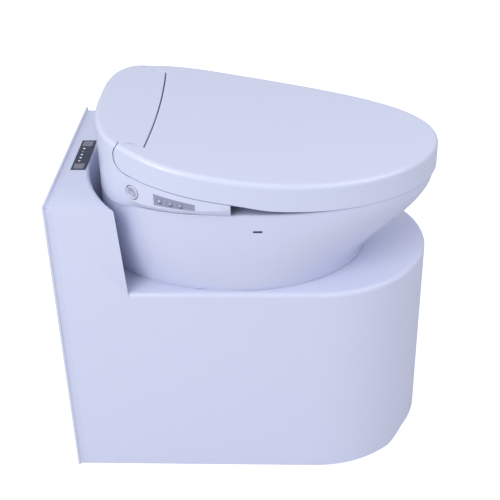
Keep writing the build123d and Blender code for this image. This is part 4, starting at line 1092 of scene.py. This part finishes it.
class TOILET_OT_bowl(bpy.types.Operator):
    """Makes the bowl: its undercut outside, its rim, its funnel and its spigot"""

    bl_idname = "toilet.bowl"
    bl_label = "Bowl"

    def execute(self, context):
        def outer(height, inset):
            shape = between(BOWL_HEIGHTS, BOWL_SHAPES, height)
            return lambda turn: egg_place(shape, inset, turn, BOWL_FOOT + height)

        def funnel(drop, wall):
            shape = between(FUNNEL_DROPS, FUNNEL_SHAPES, drop)
            return lambda turn: egg_place(shape, -wall, turn, RIM - drop)

        def spigot(radius, z):
            return lambda turn: egg_place((DROP_DEPTH, radius, radius, radius, 2.0), 0, turn, z)

        tall = BOWL_HEIGHTS[-1]
        wall_top = tall - RIM_ROUND
        rows = [outer(wall_top * n / 20, 0) for n in range(20)]
        for n in range(6):
            angle = math.pi / 2 * n / 5
            rows.append(outer(wall_top + RIM_ROUND * math.sin(angle), RIM_ROUND * (1 - math.cos(angle))))
        rows += [funnel(0.0, 1.5), funnel(0.4, 0.5), funnel(1.5, 0.0)]
        rows += [funnel(FUNNEL_DROPS[-1] * n / 16, 0) for n in range(1, 17)]
        rows += [spigot(DROP_RADIUS, RIM - FUNNEL_DROPS[-1] - 1), spigot(DROP_RADIUS, SPIGOT_END)]
        rows += [spigot(DROP_RADIUS + SPIGOT_WALL, z) for z in (SPIGOT_END, RIM - FUNNEL_DROPS[-1])]
        low = FUNNEL_DROPS[-1] - 3
        rows += [funnel(BOWL_WALL + (low - BOWL_WALL) * n / 14, SPIGOT_WALL) for n in range(14, -1, -1)]
        rows += [outer((tall - BOWL_WALL) * n / 14, BOWL_WALL) for n in range(14, -1, -1)]
        rows.append(rows[0])
        bowl = wrapped("bowl_shell", rows, AROUND)
        for x, d in BOWL_BOLTS:
            boss = [at(x, d, BOWL_FOOT + z) for z in (0, BOSS_TALL)]
            carve(bowl, rod("boss", BOSS_RADIUS, *boss), "UNION")
            hole = [at(x, d, BOWL_FOOT + z) for z in (-5, BOLT_DEPTH)]
            carve(bowl, rod("bolt_hole", BOLT_RADIUS, *hole))
        for side in (-1, 1):
            place = [at(side * SEAT_BOLT[0], SEAT_BOLT[1], z) for z in (RIM - 20, RIM + 9)]
            carve(bowl, rod("seat_bolt_hole", SEAT_BOLT_RADIUS, *place))
        soften(bowl, 0.5, 40)
        finish_piece(bowl, "bowl_white", "cabinet", "bowl")
        return {"FINISHED"}


class TOILET_OT_cove(bpy.types.Operator):
    """Makes the hollow fillet that runs up into the console's lip"""

    bl_idname = "toilet.cove"
    bl_label = "Lip cove"

    def execute(self, context):
        profile = [(COVE_IN, COVE_REAR), (COVE_OUT, COVE_REAR)]
        for n in range(9):
            angle = math.pi / 2 * n / 8
            out = COVE_OUT * (1 - math.sin(angle)) - 0.05
            profile.append((out, LIP_THICK + COVE_DEPTH * (1 - math.cos(angle))))
        profile += [(COVE_IN, LIP_THICK + COVE_DEPTH), (COVE_IN, COVE_REAR)]
        straight = CONSOLE_HALF - EDGE_ROUND
        rise = CONSOLE_TOP - EDGE_ROUND
        path = [(-CONSOLE_HALF, COVE_FOOT, -1, 0)]
        for n in range(9):
            angle = math.pi / 2 * n / 8
            path.append((-straight, rise, -math.cos(angle), math.sin(angle)))
        path += [(-x, z, -way, up) for x, z, way, up in reversed(path)]
        bm = bmesh.new()
        bmesh.ops.create_grid(bm, x_segments=len(path) - 1, y_segments=len(profile) - 1, size=1.0)
        for v in bm.verts:
            x, z, way, up = path[round((v.co.x + 1) / 2 * (len(path) - 1))]
            out, d = profile[round((v.co.y + 1) / 2 * (len(profile) - 1))]
            corner = EDGE_ROUND if abs(x) == straight else 0
            v.co = at(x + way * (out + corner), d, z + up * (out + corner))
        bmesh.ops.remove_doubles(bm, verts=bm.verts[:], dist=1e-6)
        bmesh.ops.holes_fill(bm, edges=bm.edges[:], sides=0)
        bmesh.ops.recalc_face_normals(bm, faces=bm.faces[:])
        for face in bm.faces:
            face.smooth = True
        cove = new_piece("lip_cove", bm)
        shade_by_area(cove)
        finish_piece(cove, "shell_white", "cabinet")
        return {"FINISHED"}


class TOILET_OT_button(bpy.types.Operator):
    """Makes the flush button's raised bezel and its dished face"""

    bl_idname = "toilet.button"
    bl_label = "Flush button"

    def execute(self, context):
        frame_out = side_frame(BUTTON_DEPTH, BUTTON_HEIGHT)
        bezel = soften(turned("button_ring", BEZEL_PROFILE, frame_out), 0.25, 50)
        finish_piece(bezel, "seat_white", "cabinet", "button_bezel")
        dish = soften(turned("button_dish", DISH_PROFILE, frame_out), 0.2, 50)
        finish_piece(dish, "key_white", "flush_button", "flush_button")
        dish.data.materials[0] = plastic("button_plastic", (0.46, 0.47, 0.57), 0.4, 0.1, 0.3, 1500.0, 0.04)
        return {"FINISHED"}


class TOILET_OT_marks(bpy.types.Operator):
    """Makes the small marks: the keys' printed icons, a painted shadow under each key and the bowl's inlaid
    bar
    """

    bl_idname = "toilet.marks"
    bl_label = "Marks"

    def execute(self, context):
        self.bowl_bar(context.scene.toilet_sizes.mark_length)
        for n, (key, d) in enumerate(KEYS.items()):
            # a painted shadow under each key, then its icon
            self.dash(n, d)
            self.icon(n, d, key)
        return {"FINISHED"}

    def icon(self, n, d, key):
        """A small plain sign on a key's face: a drop, a ring or a wedge."""
        radius, steps = SIGNS[n]
        bm = bmesh.new()
        bmesh.ops.create_circle(bm, cap_ends=n != 1, segments=steps, radius=radius)
        if n == 1:
            rim = bmesh.ops.extrude_edge_only(bm, edges=bm.edges[:])["geom"]
            inner = [v for v in rim if isinstance(v, bmesh.types.BMVert)]
            bmesh.ops.scale(bm, verts=inner, vec=(RING_HOLE, RING_HOLE, 1))
        else:
            bmesh.ops.triangulate(bm, faces=bm.faces[:])
        if n == 0:
            for v in bm.verts:
                v.co.y += max(0.0, v.co.y) ** 2 * DROP_POINT * (1 - abs(v.co.x) / radius)
        sign = laid_on(f"key_sign_{n + 1}", bm, NODES[key], d, key_height(d), 0.25, 0.4)
        finish_piece(sign, "key_white", key)
        sign.data.materials[0] = plastic("sign_white", (0.95, 0.95, 1.0), 0.4, 0.0, 0.1, 1500.0, 0.0)

    def bowl_bar(self, length):
        """A slim dark bar let into the bowl's side, shaped to its surface."""
        bm = bmesh.new()
        bmesh.ops.create_grid(bm, x_segments=12, y_segments=2, size=0.5)
        bmesh.ops.scale(bm, verts=bm.verts[:], vec=(length, MARK_TALL, 1))
        bpy.context.view_layer.update()
        bowl = bpy.data.objects["bowl_shell"]
        bar = laid_on("bowl_bar", bm, bowl, MARK_DEPTH, MARK_HEIGHT, 0.3, 0.6)
        finish_piece(bar, "display_black", "cabinet")

    def dash(self, n, d):
        """A short dark sheet on the strip under a key: a painted shadow of the key."""
        d += KEY_SHADOW_AHEAD
        low = key_height(d) - KEY_TALL / 2 - KEY_SHADOW_UNDER
        dash = side_block(f"key_shadow_{n + 1}", d, low, KEY_SHADOW_SIZE, *KEY_SHADOW_RISE)
        finish_piece(dash, "display_black", "cabinet")


class TOILET_OT_finishes(bpy.types.Operator):
    """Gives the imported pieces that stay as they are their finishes"""

    bl_idname = "toilet.finishes"
    bl_label = "Finishes"

    def execute(self, context):
        dress(sorted(NODES))
        grey = plastic("grey_key_plastic", context.scene.toilet_colours.strip, 0.36, 0.2, 0.3, 1500.0, 0.05)
        for key in KEYS:
            for place in NODES[key].material_slots:
                place.material = grey
        return {"FINISHED"}


class TOILET_PT_sidebar(bpy.types.Panel):
    bl_label = "Composting Toilet"
    bl_idname = "TOILET_PT_sidebar"
    bl_space_type = "VIEW_3D"
    bl_region_type = "UI"
    bl_category = "Toilet"

    def draw(self, context):
        column = self.layout.column()
        for operator in OPERATORS:
            column.operator(operator.bl_idname)
        for group in (context.scene.toilet_sizes, context.scene.toilet_colours):
            for name in group.__annotations__:
                column.prop(group, name)


OPERATORS = (
    TOILET_OT_stage,
    TOILET_OT_finishes,
    TOILET_OT_lid,
    TOILET_OT_housing,
    TOILET_OT_base,
    TOILET_OT_bowl,
    TOILET_OT_cove,
    TOILET_OT_button,
    TOILET_OT_marks,
)
CLASSES = (ToiletSizes, ToiletColours, *OPERATORS, TOILET_PT_sidebar)


def register():
    for item in CLASSES:
        bpy.utils.register_class(item)
    bpy.types.Scene.toilet_sizes = bpy.props.PointerProperty(type=ToiletSizes)
    bpy.types.Scene.toilet_colours = bpy.props.PointerProperty(type=ToiletColours)


def unregister():
    del bpy.types.Scene.toilet_colours
    del bpy.types.Scene.toilet_sizes
    for item in reversed(CLASSES):
        bpy.utils.unregister_class(item)


def main():
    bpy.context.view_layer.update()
    register()
    for operator in OPERATORS:
        group, name = operator.bl_idname.split(".")
        getattr(getattr(bpy.ops, group), name)()


if __name__ == "__main__":
    main()
